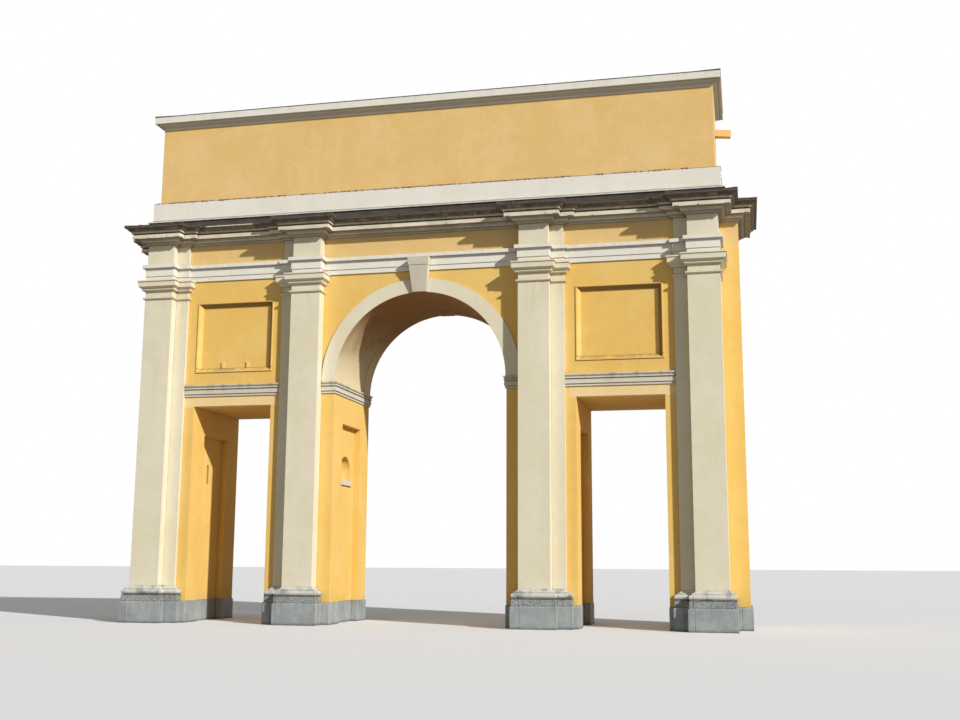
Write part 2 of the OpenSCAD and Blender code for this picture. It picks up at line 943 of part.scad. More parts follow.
// Sill in the sunk panel of a jamb whose face is at x and looks along side
module niche_sill(x, side) {
    back_x = x - side * recess_depth;
    x0 = side > 0 ? back_x : back_x - sill_out;
    half = niche_w / 2 + sill_side;
    box(x0, x0 + sill_out, -half, half, niche_sill_z - sill_t, niche_sill_z);
}

module niche_sills() {
    color(white)
        both_ends()
            niche_sill(half_w, -1);
}

left_outer_pier();
left_inner_pier();
right_inner_pier();
right_outer_pier();
left_bay_wall();
right_bay_wall();
arch_barrel();
central_spandrels();
left_outer_plinth();
left_inner_plinth();
right_inner_plinth();
right_outer_plinth();
pilaster_bases();
front_left_outer_pilaster();
front_left_inner_pilaster();
front_right_inner_pilaster();
front_right_outer_pilaster();
back_left_outer_pilaster();
back_left_inner_pilaster();
back_right_inner_pilaster();
back_right_outer_pilaster();
front_capitals();
back_capitals();
pilaster_architraves();
wall_architraves();
frieze_blocks();
cornice();
cornice_lead();
attic_podium();
attic_base_course();
attic_front_wall();
attic_back_wall();
attic_end_walls();
attic_coping();
coping_lead();
roof_deck();
water_spouts();
front_archivolt();
back_archivolt();
keystones();
imposts();
string_courses();
panel_frames();
side_lintels();
niche_sills();
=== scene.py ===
"""Triumphal arch of stuccoed masonry: its finishes, its lead work and its weathering.

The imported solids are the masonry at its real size. This script gives each of them its plaster, stone or
lead, adds the small lead joints, drips and mortar that follow the courses, and sets camera and light.
All lengths are metres, in the frame of the solids.
"""

import logging
import math
from dataclasses import dataclass, field
from enum import Enum

import bmesh
import bpy
from mathutils import Matrix, Vector
from mathutils.bvhtree import BVHTree


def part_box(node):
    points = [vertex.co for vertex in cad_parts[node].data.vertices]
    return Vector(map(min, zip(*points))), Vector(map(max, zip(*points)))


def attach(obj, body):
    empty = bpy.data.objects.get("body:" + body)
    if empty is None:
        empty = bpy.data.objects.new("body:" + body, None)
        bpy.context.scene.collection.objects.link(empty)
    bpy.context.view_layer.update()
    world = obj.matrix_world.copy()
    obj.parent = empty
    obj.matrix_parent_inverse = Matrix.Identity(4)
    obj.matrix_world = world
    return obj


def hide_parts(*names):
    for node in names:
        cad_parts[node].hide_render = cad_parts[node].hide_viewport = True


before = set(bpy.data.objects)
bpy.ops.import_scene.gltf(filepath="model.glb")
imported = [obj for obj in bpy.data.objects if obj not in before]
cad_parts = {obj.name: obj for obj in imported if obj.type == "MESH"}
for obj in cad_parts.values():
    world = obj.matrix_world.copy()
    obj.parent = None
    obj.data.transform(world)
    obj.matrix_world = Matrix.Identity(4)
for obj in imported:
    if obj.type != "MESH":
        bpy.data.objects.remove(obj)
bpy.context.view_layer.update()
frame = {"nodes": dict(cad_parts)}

BODY = "root"
SKY = 99.0
OUTSIDE = 10.0
FULL_TURN = 6.28
log = logging.getLogger("arch")

Colour = tuple[float, float, float]
Line = list[Vector]


class Slot(Enum):
    """The record's material slots, one named with each added piece."""

    OCHRE = "ochre_stucco"
    WHITE = "white_stucco"
    WEATHERED = "weathered_stucco"
    LEAD = "lead_sheet"


def from_screen(red: int, green: int, blue: int) -> Colour:
    """Turns a colour as a screen shows it into the linear one that a shader takes.

    Args:
        red: Red from 0 to 255.
        green: Green from 0 to 255.
        blue: Blue from 0 to 255.

    Returns:
        The three linear values.
    """
    shares = [part / 255.0 for part in (red, green, blue)]
    return tuple(share / 12.92 if share <= 0.04045 else ((share + 0.055) / 1.055) ** 2.4 for share in shares)


def linked(name: str, data: bpy.types.ID) -> bpy.types.Object:
    """Makes an object in the scene.

    Args:
        name: Its name.
        data: Its mesh, lamp or camera.

    Returns:
        The object.
    """
    made = bpy.data.objects.new(name, data)
    bpy.context.scene.collection.objects.link(made)
    return made


class Signal:
    """What leaves one output of a node, open to plain arithmetic."""

    def __init__(self, wiring: "Wiring", socket: bpy.types.NodeSocket) -> None:
        """Takes the wiring of its tree and the output."""
        self.wiring = wiring
        self.socket = socket

    def __add__(self, other: "Signal | float") -> "Signal":
        """Adds a value."""
        return self.wiring.maths("ADD", self, other)

    def __sub__(self, other: "Signal | float") -> "Signal":
        """Takes a value away."""
        return self.wiring.maths("SUBTRACT", self, other)

    def __rsub__(self, other: float) -> "Signal":
        """Takes the signal away from a number."""
        return self.wiring.maths("SUBTRACT", other, self)

    def __mul__(self, other: "Signal | float") -> "Signal":
        """Multiplies by a value."""
        return self.wiring.maths("MULTIPLY", self, other)

    def __abs__(self) -> "Signal":
        """Drops the sign."""
        return self.wiring.maths("ABSOLUTE", self)

    def __lt__(self, limit: "Signal | float") -> "Signal":
        """Gives 1 below a limit and 0 above it."""
        return self.wiring.maths("LESS_THAN", self, limit)

    def __gt__(self, limit: "Signal | float") -> "Signal":
        """Gives 1 above a limit and 0 below it."""
        return self.wiring.maths("GREATER_THAN", self, limit)

    def ramp(
        self, low: "Signal | float", high: "Signal | float", start: float = 0.0, end: float = 1.0
    ) -> "Signal":
        """Maps the value smoothly from one range to another.

        Args:
            low: The value that gives start.
            high: The value that gives end.
            start: Result at low.
            end: Result at high.

        Returns:
            The result, held between start and end.
        """
        inputs = {"Value": self, "From Min": low, "From Max": high, "To Min": start, "To Max": end}
        return self.wiring.node("ShaderNodeMapRange", inputs, interpolation_type="SMOOTHSTEP")["Result"]


Value = Signal | float
Tint = Signal | Colour


class Outputs:
    """The outputs of one node, as signals."""

    def __init__(self, wiring: "Wiring", node: bpy.types.Node) -> None:
        """Takes the wiring of the tree and the node."""
        self.wiring = wiring
        self.node = node

    def __getitem__(self, key: str | int) -> Signal:
        """Returns one output by name or index."""
        return Signal(self.wiring, self.node.outputs[key])


class Wiring:
    """Lays out the nodes of one tree and joins them."""

    place: Signal

    def __init__(self, tree: bpy.types.NodeTree) -> None:
        """Takes the tree that the nodes go into."""
        self.tree = tree

    def join(self, value: object, socket: bpy.types.NodeSocket) -> None:
        """Feeds a socket from a signal or sets it to a constant.

        Args:
            value: A signal, a number, a colour or vector, or None to leave it.
            socket: The input socket.
        """
        if isinstance(value, Signal):
            self.tree.links.new(value.socket, socket)
        elif isinstance(value, tuple) and socket.type == "RGBA":
            socket.default_value = (*value[:3], 1.0)
        elif value is not None:
            socket.default_value = value

    def node(self, kind: str, inputs: dict[str | int, object] | None = None, **settings: object) -> Outputs:
        """Adds a node.

        Args:
            kind: Blender's name of the node type.
            inputs: What feeds its inputs, by name or index.
            **settings: The node's own properties.

        Returns:
            Its outputs.
        """
        made = self.tree.nodes.new(kind)
        for name, setting in settings.items():
            setattr(made, name, setting)
        for key, value in (inputs or {}).items():
            self.join(value, made.inputs[key])
        return Outputs(self, made)

    def maths(self, operation: str, first: Value, second: Value | None = None, clamp: bool = False) -> Signal:
        """Adds one sum and returns its result."""
        return self.node("ShaderNodeMath", {0: first, 1: second}, operation=operation, use_clamp=clamp)[0]

    def vectors(self, operation: str, first: Signal, second: Signal | Colour) -> Outputs:
        """Adds one sum of two vectors and returns its outputs."""
        return self.node("ShaderNodeVectorMath", {0: first, 1: second}, operation=operation)

    def blend(self, share: Value, first: Tint, second: Tint, how: str = "MIX") -> Signal:
        """Mixes two colours.

        Args:
            share: Share of the second.
            first: The first colour.
            second: The second colour.
            how: Blender's name of the mixing rule.

        Returns:
            The mixed colour.
        """
        inputs = {0: share, 6: first, 7: second}
        return self.node("ShaderNodeMix", inputs, data_type="RGBA", blend_type=how)[2]

    def noise(
        self, scale: Value, detail: float = 3.0, rough: float = 0.55, warp: float = 0.0, upright: float = 1.0
    ) -> Signal:
        """Adds a noise over the place.

        Args:
            scale: Its repeats in a metre.
            detail: Its octaves.
            rough: The strength of the finer octaves.
            warp: Its distortion.
            upright: Its repeats on Z for each one on X, so a small value draws it out upwards.

        Returns:
            The noise, about 0.5 on the average.
        """
        place = self.place if upright == 1.0 else self.vectors("MULTIPLY", self.place, (1.0, 1.0, upright))[0]
        inputs = {"Vector": place, "Scale": scale, "Detail": detail, "Roughness": rough, "Distortion": warp}
        return self.node("ShaderNodeTexNoise", inputs)[0]

    def wander(self, amount: Value, scale: Value, detail: float = 3.0, rough: float = 0.55) -> Signal:
        """Returns a noise that swings about zero, to bend a straight line."""
        return (self.noise(scale, detail, rough) - 0.5) * amount

    def parts(self, vector: Signal | None = None) -> Outputs:
        """Parts a vector, or else the place, into X, Y and Z."""
        return self.node("ShaderNodeSeparateXYZ", {0: vector or self.place})

    def facing(self) -> Outputs:
        """Parts the direction that the surface faces into X, Y and Z."""
        return self.parts(self.node("ShaderNodeNewGeometry")["Normal"])

    def looked_at(self) -> Signal:
        """Gives 1 to rays from the camera and from mirrors, and 0 to light."""
        rays = self.node("ShaderNodeLightPath")
        return self.maths("MAXIMUM", rays["Is Camera Ray"], rays["Is Glossy Ray"])


FLOAT, VECTOR = "NodeSocketFloat", "NodeSocketVector"
GEOMETRY, MATERIAL = "NodeSocketGeometry", "NodeSocketMaterial"


class Group(Wiring):
    """A node group with named inputs and outputs."""

    def __init__(self, name: str, kind: str, inputs: dict[str, object], outputs: dict[str, str]) -> None:
        """Opens the group.

        Args:
            name: Its name.
            kind: Blender's name of the tree type.
            inputs: Named inputs, each with its default number or else its socket type.
            outputs: Named outputs with their socket types.
        """
        super().__init__(bpy.data.node_groups.new(name, kind))
        for key, given in inputs.items():
            number = {int: "NodeSocketInt", float: FLOAT}.get(type(given))
            socket = self.tree.interface.new_socket(name=key, in_out="INPUT", socket_type=number or given)
            if number:
                socket.default_value = given
        for key, given in outputs.items():
            self.tree.interface.new_socket(name=key, in_out="OUTPUT", socket_type=given)
        self.entry = self.node("NodeGroupInput")

    def __getitem__(self, key: str) -> Signal:
        """Returns what comes in by a named input."""
        return self.entry[key]

    def give(self, **values: Signal) -> None:
        """Ends the group: feeds its outputs.

        Args:
            **values: What feeds each output, by name.
        """
        end = self.tree.nodes.new("NodeGroupOutput")
        for key, value in values.items():
            self.join(value, end.inputs[key])


class Effect(Group):
    """A shader node group that several finishes use, built once."""

    made: dict[str, bpy.types.NodeTree] = {}

    def __init__(self, name: str, outputs: str = "Mask", placed: bool = True, **inputs: float) -> None:
        """Opens the group.

        Args:
            name: Its name.
            outputs: The names of its outputs.
            placed: Whether it reads the place.
            **inputs: Named inputs with their defaults.
        """
        kinds = {key: VECTOR if key == "Normal" else FLOAT for key in outputs.split()}
        super().__init__(name, "ShaderNodeTree", ({"Vector": VECTOR} if placed else {}) | inputs, kinds)
        if placed:
            self.place = self["Vector"]
        Effect.made[name] = self.tree


def build_plaster_effects() -> None:
    """Builds the groups for the plaster itself: grain, patches, mottling, cracks, joints and worn edges."""
    grain = Effect("plaster_grain", "Height Fleck", Grit=70.0, Trowel=4.0)
    grit = grain.noise(grain["Grit"], 3.0, 0.6)
    sand = grain.noise(grain["Grit"] * 0.3, 2.0)
    sweep = grain.noise(grain["Trowel"], 3.0, 0.5, warp=0.6, upright=1.7)
    grain.give(Height=sand * 0.3 + grit * 0.18 + sweep * 1.6, Fleck=sand * 0.6 + grit * 0.4)

    patch = Effect("faded_patches", "Mask Tone", Size=0.5, Edge=0.1)
    near = patch.noise(patch["Size"] * 5.0, 4.0, 0.62)
    mixed = patch.noise(patch["Size"], 5.0, 0.6, warp=0.4) * 0.65 + near * 0.35
    patch.give(Mask=mixed.ramp(0.5 - patch["Edge"], patch["Edge"] + 0.5), Tone=near)

    mottle = Effect("upright_mottling", "Tone", Spacing=1.6, Strength=0.05)
    bands = mottle.noise(mottle["Spacing"], 5.0, 0.62, upright=0.14)
    mottle.give(Tone=(bands - 0.5) * (mottle["Strength"] * 4.0) + 1.0)

    crack = Effect("hair_cracks", Spread=0.8, Width=0.004)
    bent = crack.node("ShaderNodeTexNoise", {"Vector": crack.place, "Scale": 2.2, "Detail": 4.0})[1]
    moved = crack.vectors("ADD", crack.place, crack.vectors("MULTIPLY", bent, (0.45, 0.45, 0.45))[0])[0]
    cell = crack.node("ShaderNodeTexVoronoi", {"Vector": moved, "Scale": crack["Spread"]}, feature="DISTANCE_TO_EDGE")
    line = 1.0 - crack.maths("DIVIDE", cell["Distance"], crack["Width"], clamp=True)
    crack.give(Mask=line * crack.noise(0.7, 3.0).ramp(0.58, 0.68))

    seam = Effect("level_line", Level=1.0, Half=0.006)
    away = abs(seam.parts()["Z"] + seam.wander(0.012, 5.0) - seam["Level"])
    seam.give(Mask=away.ramp(seam["Half"], seam["Half"] * 0.4))

    zone = Effect("height_band", Foot=0.0, Head=1.0, Blur=0.01)
    height = zone.parts()["Z"] + zone.wander(zone["Blur"], 7.0, 4.0, 0.65)
    zone.give(Mask=(height - zone["Foot"]).ramp(-0.004, 0.004) * (zone["Head"] - height).ramp(-0.004, 0.004))

    blocks = Effect("block_joints", Length=1.1, Shift=0.0, Width=0.006)
    along = blocks.parts()["X"] + blocks.parts()["Y"] + blocks["Shift"] + blocks.wander(0.02, 6.0)
    blocks.give(Mask=blocks.maths("PINGPONG", along, blocks["Length"] * 0.5).ramp(blocks["Width"], 0.0))

    worn = Effect("worn_edges", "Normal Mask", Radius=0.012)
    soft = worn.node("ShaderNodeBevel", {"Radius": worn["Radius"]}, samples=4)["Normal"]
    turned = worn.vectors("DOT_PRODUCT", soft, worn.node("ShaderNodeNewGeometry")["Normal"])["Value"]
    worn.give(Normal=soft, Mask=turned.ramp(0.99, 0.8) * worn.noise(14.0, 4.0, 0.6).ramp(0.42, 0.6))


def build_weather_effects() -> None:
    """Builds the groups for what the weather leaves: runs, splashes and dust; and for painted shade: sooting and shade
    in corners, and a vault painted darker towards its crown.
    """
    runs = Effect("rain_runs", Top=1.0, Length=1.0, Spacing=5.0)
    below = runs["Top"] - runs.parts()["Z"]
    reach = runs["Length"] * (runs.noise(runs["Spacing"] * 0.7, 2.0, upright=0.02) + 0.3)
    fade = runs.maths("DIVIDE", below, reach).ramp(1.0, 0.0)
    thread = runs.noise(runs["Spacing"], 4.0, 0.6, upright=0.06).ramp(0.46, 0.68)
    runs.give(Mask=fade * below.ramp(-0.02, 0.02) * thread)

    splash = Effect("ground_splash", Reach=1.0)
    height = splash.parts()["Z"] - splash.noise(3.0, 5.0, 0.65) * splash["Reach"]
    splash.give(Mask=splash.maths("DIVIDE", height, splash["Reach"]).ramp(0.5, -0.5))

    # Painted shade, with sooting: darkens corners and creases where the surroundings close in.
    soot_and_shade = Effect("corner_shade_and_soot", placed=False, Reach=0.3, Onset=0.9)
    open_sky = soot_and_shade.node("ShaderNodeAmbientOcclusion", {"Distance": soot_and_shade["Reach"]}, samples=6)["AO"]
    soot_and_shade.give(Mask=open_sky.ramp(soot_and_shade["Onset"], 0.25))

    ledge = Effect("ledge_dust", Share=0.8)
    cover = ledge.noise(2.5, 5.0, 0.65).ramp(0.3, 0.6)
    ledge.give(Mask=ledge.facing()["Z"].ramp(0.3, 0.8) * cover * ledge["Share"])

    # Painted shade: the vault's soffit darkens towards its crown, in place of the deep shade inside the passage.
    vault = Effect("vault_soffit", "Inside Crown", Spring=6.96, Radius=2.6)
    across, rise = vault.parts()["X"], vault.parts()["Z"] - vault["Spring"]
    reach = vault.maths("SQRT", across * across + rise * rise)
    crown = (rise + vault.wander(1.6, 1.3, 5.0, 0.6)).ramp(0.2, 2.2)
    vault.give(Inside=reach < vault["Radius"], Crown=crown)


class Coat(Wiring):
    """One material in the making: a tint that is laid over layer by layer."""

    def __init__(self, name: str, size: float, edge: float, own: Colour, faded: Colour, share: float) -> None:
        """Opens the material with its own colour, faded in patches.

        Args:
            name: Its name.
            size: Repeats of the patches in a metre.
            edge: How soft their edges are.
            own: The colour between them.
            faded: Their colour.
            share: How strong it is.
        """
        self.material = bpy.data.materials.new(name)
        self.material.use_nodes = True
        super().__init__(self.material.node_tree)
        self.shader = self.tree.nodes["Principled BSDF"].inputs
        self.place = self.node("ShaderNodeTexCoord")["Object"]
        self.patches = self.effect("faded_patches", Size=size, Edge=edge)
        self.tint = self.blend(self.patches["Mask"] * share, own, faded)

    def effect(self, name: str, **sizes: float) -> Outputs:
        """Puts an effect into the material.

        Args:
            name: The effect's name.
            **sizes: Its inputs.

        Returns:
            Its outputs.
        """
        made = self.node("ShaderNodeGroup", sizes, node_tree=Effect.made[name])
        if "Vector" in made.node.inputs:
            self.join(self.place, made.node.inputs["Vector"])
        return made

    def band(self, foot: float, head: float = SKY, blur: float = 0.0) -> Signal:
        """Returns the mask of a level band."""
        return self.effect("height_band", Foot=foot, Head=head, Blur=blur)["Mask"]

    def lay(self, mask: Signal, colour: Tint, share: float = 1.0) -> None:
        """Lays a colour where a mask is."""
        self.tint = self.blend(mask if share == 1.0 else mask * share, self.tint, colour)

    def stain(self, effect: str, colour: Tint, share: float = 1.0, **sizes: float) -> None:
        """Lays a colour where the mask of an effect is."""
        self.lay(self.effect(effect, **sizes)["Mask"], colour, share)

    def close(
        self, dull: tuple[float, float], strength: float, depth: float, height: Signal,
        normal: Signal | None = None, gloss: float = 0.5, metal: float = 0.0,
    ) -> bpy.types.Material:
        """Ends the material.

        Args:
            dull: Its least and its greatest roughness.
            strength: Strength of its relief.
            depth: Depth of its relief.
            height: The relief.
            normal: The direction of the surface, where worn edges turn it.
            gloss: Strength of its reflections.
            metal: How far it is metal.

        Returns:
            The material.
        """
        self.join(self.tint, self.shader["Base Color"])
        self.join(self.patches["Tone"].ramp(0.3, 0.7, *dull), self.shader["Roughness"])
        relief = {"Strength": strength, "Distance": depth, "Height": height, "Normal": normal}
        self.join(self.node("ShaderNodeBump", relief)[0], self.shader["Normal"])
        self.join(gloss, self.shader["Specular IOR Level"])
        self.join(metal, self.shader["Metallic"])
        return self.material


# Colour of rain runs on ochre plaster, and of its painted shade near corners and on faces turned down.
SOIL_AND_SHADE_OCHRE = from_screen(150, 118, 70)
DOOR_PAINT = from_screen(240, 209, 148)
DUST = from_screen(128, 112, 90)
OCHRE = (from_screen(233, 190, 102), from_screen(240, 203, 124), SOIL_AND_SHADE_OCHRE)
PALE_OCHRE = (from_screen(230, 190, 120), from_screen(236, 202, 142), SOIL_AND_SHADE_OCHRE)
CREAM = (from_screen(224, 213, 182), from_screen(232, 225, 202), from_screen(150, 130, 100))
WHITE = (from_screen(231, 225, 209), from_screen(238, 234, 222), from_screen(138, 126, 106))
GREYED = (from_screen(211, 201, 179), from_screen(224, 216, 198), from_screen(120, 106, 86))


@dataclass(frozen=True)
class DoorBand:
    """The paler band over a side way, on the wall and on the piers beside it."""

    colour: Colour = DOOR_PAINT
    foot: float = 6.30
    head: float = 6.97
    centre: float = 5.85
    half_width: float = 1.5
    front_from: float = 1.46

    def lay(self, coat: Coat) -> None:
        """Lays the band over a material's tint.

        Args:
            coat: The material in the making.
        """
        place = coat.parts()
        bay = abs(abs(place["X"]) - self.centre) < self.half_width
        front = abs(place["Y"]) > self.front_from
        coat.lay(coat.band(self.foot, self.head) * (bay * front), self.colour)


@dataclass(frozen=True)
class Plaster:
    """Lime plaster in one colour, with the weathering of its place on the arch and painted shade: in corners and
    creases, on faces turned down or away from the key light, and towards a vault's crown.
    """

    name: str
    colour: Colour
    faded: Colour
    # Colour of rain runs, and of painted shade near corners and on faces turned down.
    soil_and_shade: Colour
    upper: Colour | None = None
    upper_from: float = 10.6
    door_band: DoorBand | None = None
    run_tops: tuple[float, ...] = ()
    run_length: float = 1.0
    run_share: float = 0.15
    fade_share: float = 0.5
    mottling: float = 0.035
    # Shares of painted shade, with sooting, in creases and near corners.
    crease_soot_and_shade_share: float = 0.55
    soot_and_shade_share: float = 0.3
    crack_share: float = 0.22
    joint_levels: tuple[float, ...] = ()
    joint_half: float = 0.012
    # Share of painted shade on faces turned down or to the left, away from the key light.
    away_shade_share: float = 0.0
    # Share of painted shade on faces turned down.
    underside_shade_share: float = 0.0
    splash_reach: float = 0.0
    # Radius of a vault whose soffit is painted with shade, darker towards its crown.
    soffit: float = 0.0
    vault_cream: Colour = from_screen(226, 208, 166)
    vault_crown_shade: Colour = from_screen(150, 108, 56)
    # Colour of the painted shade, with sooting, in creases.
    crease_soot_and_shade: Colour = from_screen(96, 80, 60)
    joint: Colour = from_screen(74, 64, 52)
    # Colour of the painted shade on faces turned away from the key light.
    away_shade: Colour = from_screen(116, 86, 44)
    splash: Colour = from_screen(158, 136, 98)
    crack: Colour = from_screen(96, 78, 56)
    rubbed: Colour = from_screen(214, 204, 182)

    def build(self) -> bpy.types.Material:
        """Builds the material.

        Returns:
            The material, for Object coordinates.
        """
        coat = Coat(self.name, 0.55, 0.09, self.colour, self.faded, self.fade_share)
        grain = coat.effect("plaster_grain")
        edges = coat.effect("worn_edges", Radius=0.01)
        if self.upper:
            coat.lay(coat.band(self.upper_from), self.upper)
        if self.door_band:
            self.door_band.lay(coat)
        # Painted shade on the vault's soffit: its own cream low down, darker towards the crown.
        if self.soffit:
            vault = coat.effect("vault_soffit", Radius=self.soffit)
            coat.lay(vault["Inside"], coat.blend(vault["Crown"], self.vault_cream, self.vault_crown_shade))
        fleck = grain["Fleck"].ramp(0.3, 0.7, 0.96, 1.03)
        tone = fleck * coat.effect("upright_mottling", Strength=self.mottling)["Tone"]
        grey = coat.node("ShaderNodeCombineColor", {0: tone, 1: tone, 2: tone})[0]
        coat.tint = coat.blend(1.0, coat.tint, grey, "MULTIPLY")
        for number, top in enumerate(self.run_tops):
            sizes = {"Top": top, "Length": self.run_length, "Spacing": 5.0 + number}
            coat.stain("rain_runs", self.soil_and_shade, self.run_share, **sizes)
        # Painted shade, with sooting, near corners, in patches.
        soot_and_shade = coat.effect("corner_shade_and_soot", Reach=0.2, Onset=0.75)["Mask"]
        coat.lay(soot_and_shade * coat.patches["Tone"].ramp(0.3, 0.65), self.soil_and_shade, self.soot_and_shade_share)
        # Painted shade, with sooting, in creases and undercuts: fine dark lines.
        coat.stain("corner_shade_and_soot", self.crease_soot_and_shade, self.crease_soot_and_shade_share, Reach=0.045, Onset=0.8)
        for level in self.joint_levels:
            coat.stain("level_line", self.joint, 0.7, Level=level, Half=self.joint_half)
        coat.stain("ledge_dust", DUST, Share=0.6)
        # Painted shade on faces turned down or to the left, away from the key light.
        if self.away_shade_share:
            facing = coat.facing()
            coat.lay(coat.maths("MINIMUM", facing["X"], facing["Z"]).ramp(-0.4, -0.6), self.away_shade, self.away_shade_share)
        # Painted shade on faces turned down.
        if self.underside_shade_share:
            coat.lay(coat.facing()["Z"].ramp(-0.3, -0.7), self.soil_and_shade, self.underside_shade_share)
        if self.splash_reach:
            coat.stain("ground_splash", self.splash, 0.4, Reach=self.splash_reach)
        cracks = coat.effect("hair_cracks")["Mask"]
        coat.lay(cracks, self.crack, self.crack_share)
        coat.lay(edges["Mask"], self.rubbed, 0.3)
        height = grain["Height"] - cracks * 0.8
        return coat.close((0.82, 0.94), 0.4, 0.006, height, edges["Normal"], gloss=0.25)


@dataclass(frozen=True)
class CorniceCrust:
    """Run mouldings of the cornice: pale corona and fillet, a blackened cyma, one block newly bared, and painted shade
    in the sunk joint, on faces turned down and in corners.
    """

    name: str = "cornice_plaster"
    pale: Colour = from_screen(234, 223, 198)
    tan: Colour = from_screen(168, 151, 126)
    brown: Colour = from_screen(118, 100, 80)
    crust: Colour = from_screen(98, 88, 78)
    black: Colour = from_screen(52, 44, 38)
    # Sunk joint under the fillet, painted black as shade.
    joint: tuple[float, float] = (11.527, 11.568)
    cyma: tuple[float, float] = (11.627, 11.80)
    cyma_fillet: tuple[float, float] = (11.712, 11.764)
    bare: tuple[float, float] = (-6.62, -5.10)

    def build(self) -> bpy.types.Material:
        """Builds the material.

        Returns:
            The material, for Object coordinates.
        """
        coat = Coat(self.name, 0.9, 0.12, self.pale, self.tan, 0.4)
        grain = coat.effect("plaster_grain", Grit=55.0)
        edges = coat.effect("worn_edges", Radius=0.01)
        place = coat.parts()
        bare = (place["X"] - self.bare[0]).ramp(-0.01, 0.01) * (self.bare[1] - place["X"]).ramp(-0.01, 0.01)
        bare = bare * (place["Y"] < 0.0)
        dark = coat.blend(coat.patches["Tone"].ramp(0.4, 0.66), self.crust, self.tan)
        dark = coat.blend(coat.noise(2.3, 4.0, upright=0.3).ramp(0.42, 0.62), dark, self.crust)
        dark = coat.blend(coat.band(self.cyma_fillet[0], blur=0.01), dark, self.crust)
        dark = coat.blend(bare * 0.6, dark, self.tan)
        coat.lay(coat.band(*self.cyma, blur=0.03), dark, 0.95)
        coat.lay(bare * coat.band(*self.cyma_fillet, blur=0.012), self.pale)
        # Painted shade in the sunk joint under the fillet.
        coat.lay(coat.band(*self.joint, blur=0.012), self.black, 0.8)
        # Painted shade on faces turned down.
        coat.lay(coat.facing()["Z"].ramp(-0.4, -0.9), self.brown, 0.7)
        coat.stain("rain_runs", self.black, 0.35, Top=11.78, Length=0.45, Spacing=7.0)
        # Painted shade, with sooting, in corners and creases.
        coat.stain("corner_shade_and_soot", self.brown, 0.55, Reach=0.12, Onset=0.8)
        coat.stain("corner_shade_and_soot", self.black, 0.7, Reach=0.04, Onset=0.8)
        return coat.close((0.84, 0.95), 0.6, 0.01, grain["Height"], edges["Normal"], gloss=0.2)


@dataclass(frozen=True)
class SootedPodium:
    """The low podium behind the cornice, sooted, with a painted shadow under its pale nosing."""

    name: str = "podium_plaster"
    sooted: Colour = from_screen(88, 80, 70)
    black: Colour = from_screen(30, 26, 23)
    pale: Colour = from_screen(226, 222, 212)
    worn: Colour = from_screen(150, 144, 134)
    nosing_foot: float = 12.083

    def build(self) -> bpy.types.Material:
        """Builds the material.

        Returns:
            The material, for Object coordinates.
        """
        coat = Coat(self.name, 1.2, 0.12, self.sooted, self.black, 0.5)
        nosing = coat.blend(coat.patches["Mask"] * 0.4, self.pale, self.worn)
        # Painted shadow: black just under the nosing.
        coat.lay((self.nosing_foot - coat.parts()["Z"]).ramp(0.07, 0.02), self.black)
        coat.lay(coat.band(self.nosing_foot, blur=0.006), nosing)
        coat.stain("ledge_dust", DUST, Share=0.8)
        grain = coat.effect("plaster_grain", Grit=60.0)
        return coat.close((0.82, 0.95), 0.5, 0.008, grain["Height"], gloss=0.2)


@dataclass(frozen=True)
class PlinthStone:
    """Grey limestone under the pilasters: pitted under the torus, stained by splashes, with upright joints."""

    name: str = "plinth_stone"
    pale: Colour = from_screen(166, 169, 165)
    grey: Colour = from_screen(130, 136, 137)
    dark: Colour = from_screen(76, 74, 70)
    rust: Colour = from_screen(126, 92, 62)
    painted: Colour = from_screen(203, 200, 187)
    pit: Colour = from_screen(44, 41, 39)
    shadow: Colour = from_screen(46, 42, 40)
    torus_foot: float = 0.80
    die_foot: float = 0.60

    def build(self) -> bpy.types.Material:
        """Builds the material.

        Returns:
            The material, for Object coordinates.
        """
        coat = Coat(self.name, 1.1, 0.14, self.pale, self.grey, 0.7)
        grain = coat.effect("plaster_grain", Grit=90.0, Trowel=7.0)
        edges = coat.effect("worn_edges", Radius=0.014)
        flaked = coat.blend(coat.noise(1.9, 5.0, 0.6).ramp(0.48, 0.66), self.painted, self.grey)
        coat.lay(coat.band(self.torus_foot), flaked)
        pits = coat.noise(31.0, 2.0, 0.6).ramp(0.52, 0.6) * coat.band(self.die_foot, self.torus_foot, 0.05)
        coat.lay(pits, self.pit, 0.75)
        coat.lay(coat.noise(34.0, 3.0, 0.7).ramp(0.64, 0.74), self.dark, 0.5)
        coat.stain("rain_runs", self.dark, 0.22, Top=0.62, Length=0.7, Spacing=6.0)
        coat.lay(coat.noise(3.1, 4.0, upright=0.3).ramp(0.64, 0.74), self.rust, 0.3)
        coat.stain("ground_splash", self.dark, 0.6, Reach=0.1)
        joints = coat.effect("block_joints", Length=1.16, Shift=0.33, Width=0.009)["Mask"]
        cracks = coat.effect("hair_cracks", Spread=1.3, Width=0.005)["Mask"]
        gaps = coat.maths("MAXIMUM", joints, cracks * 0.6)
        coat.lay(gaps, self.dark, 0.8)
        coat.stain("level_line", self.shadow, 0.9, Level=self.torus_foot - 0.004, Half=0.016)
        # Painted shade, with sooting, in the corners of the mouldings.
        coat.stain("corner_shade_and_soot", self.dark, 0.8, Reach=0.06, Onset=0.85)
        height = grain["Height"] - (gaps * 2.0 + pits)
        return coat.close((0.6, 0.85), 0.7, 0.008, height, edges["Normal"])


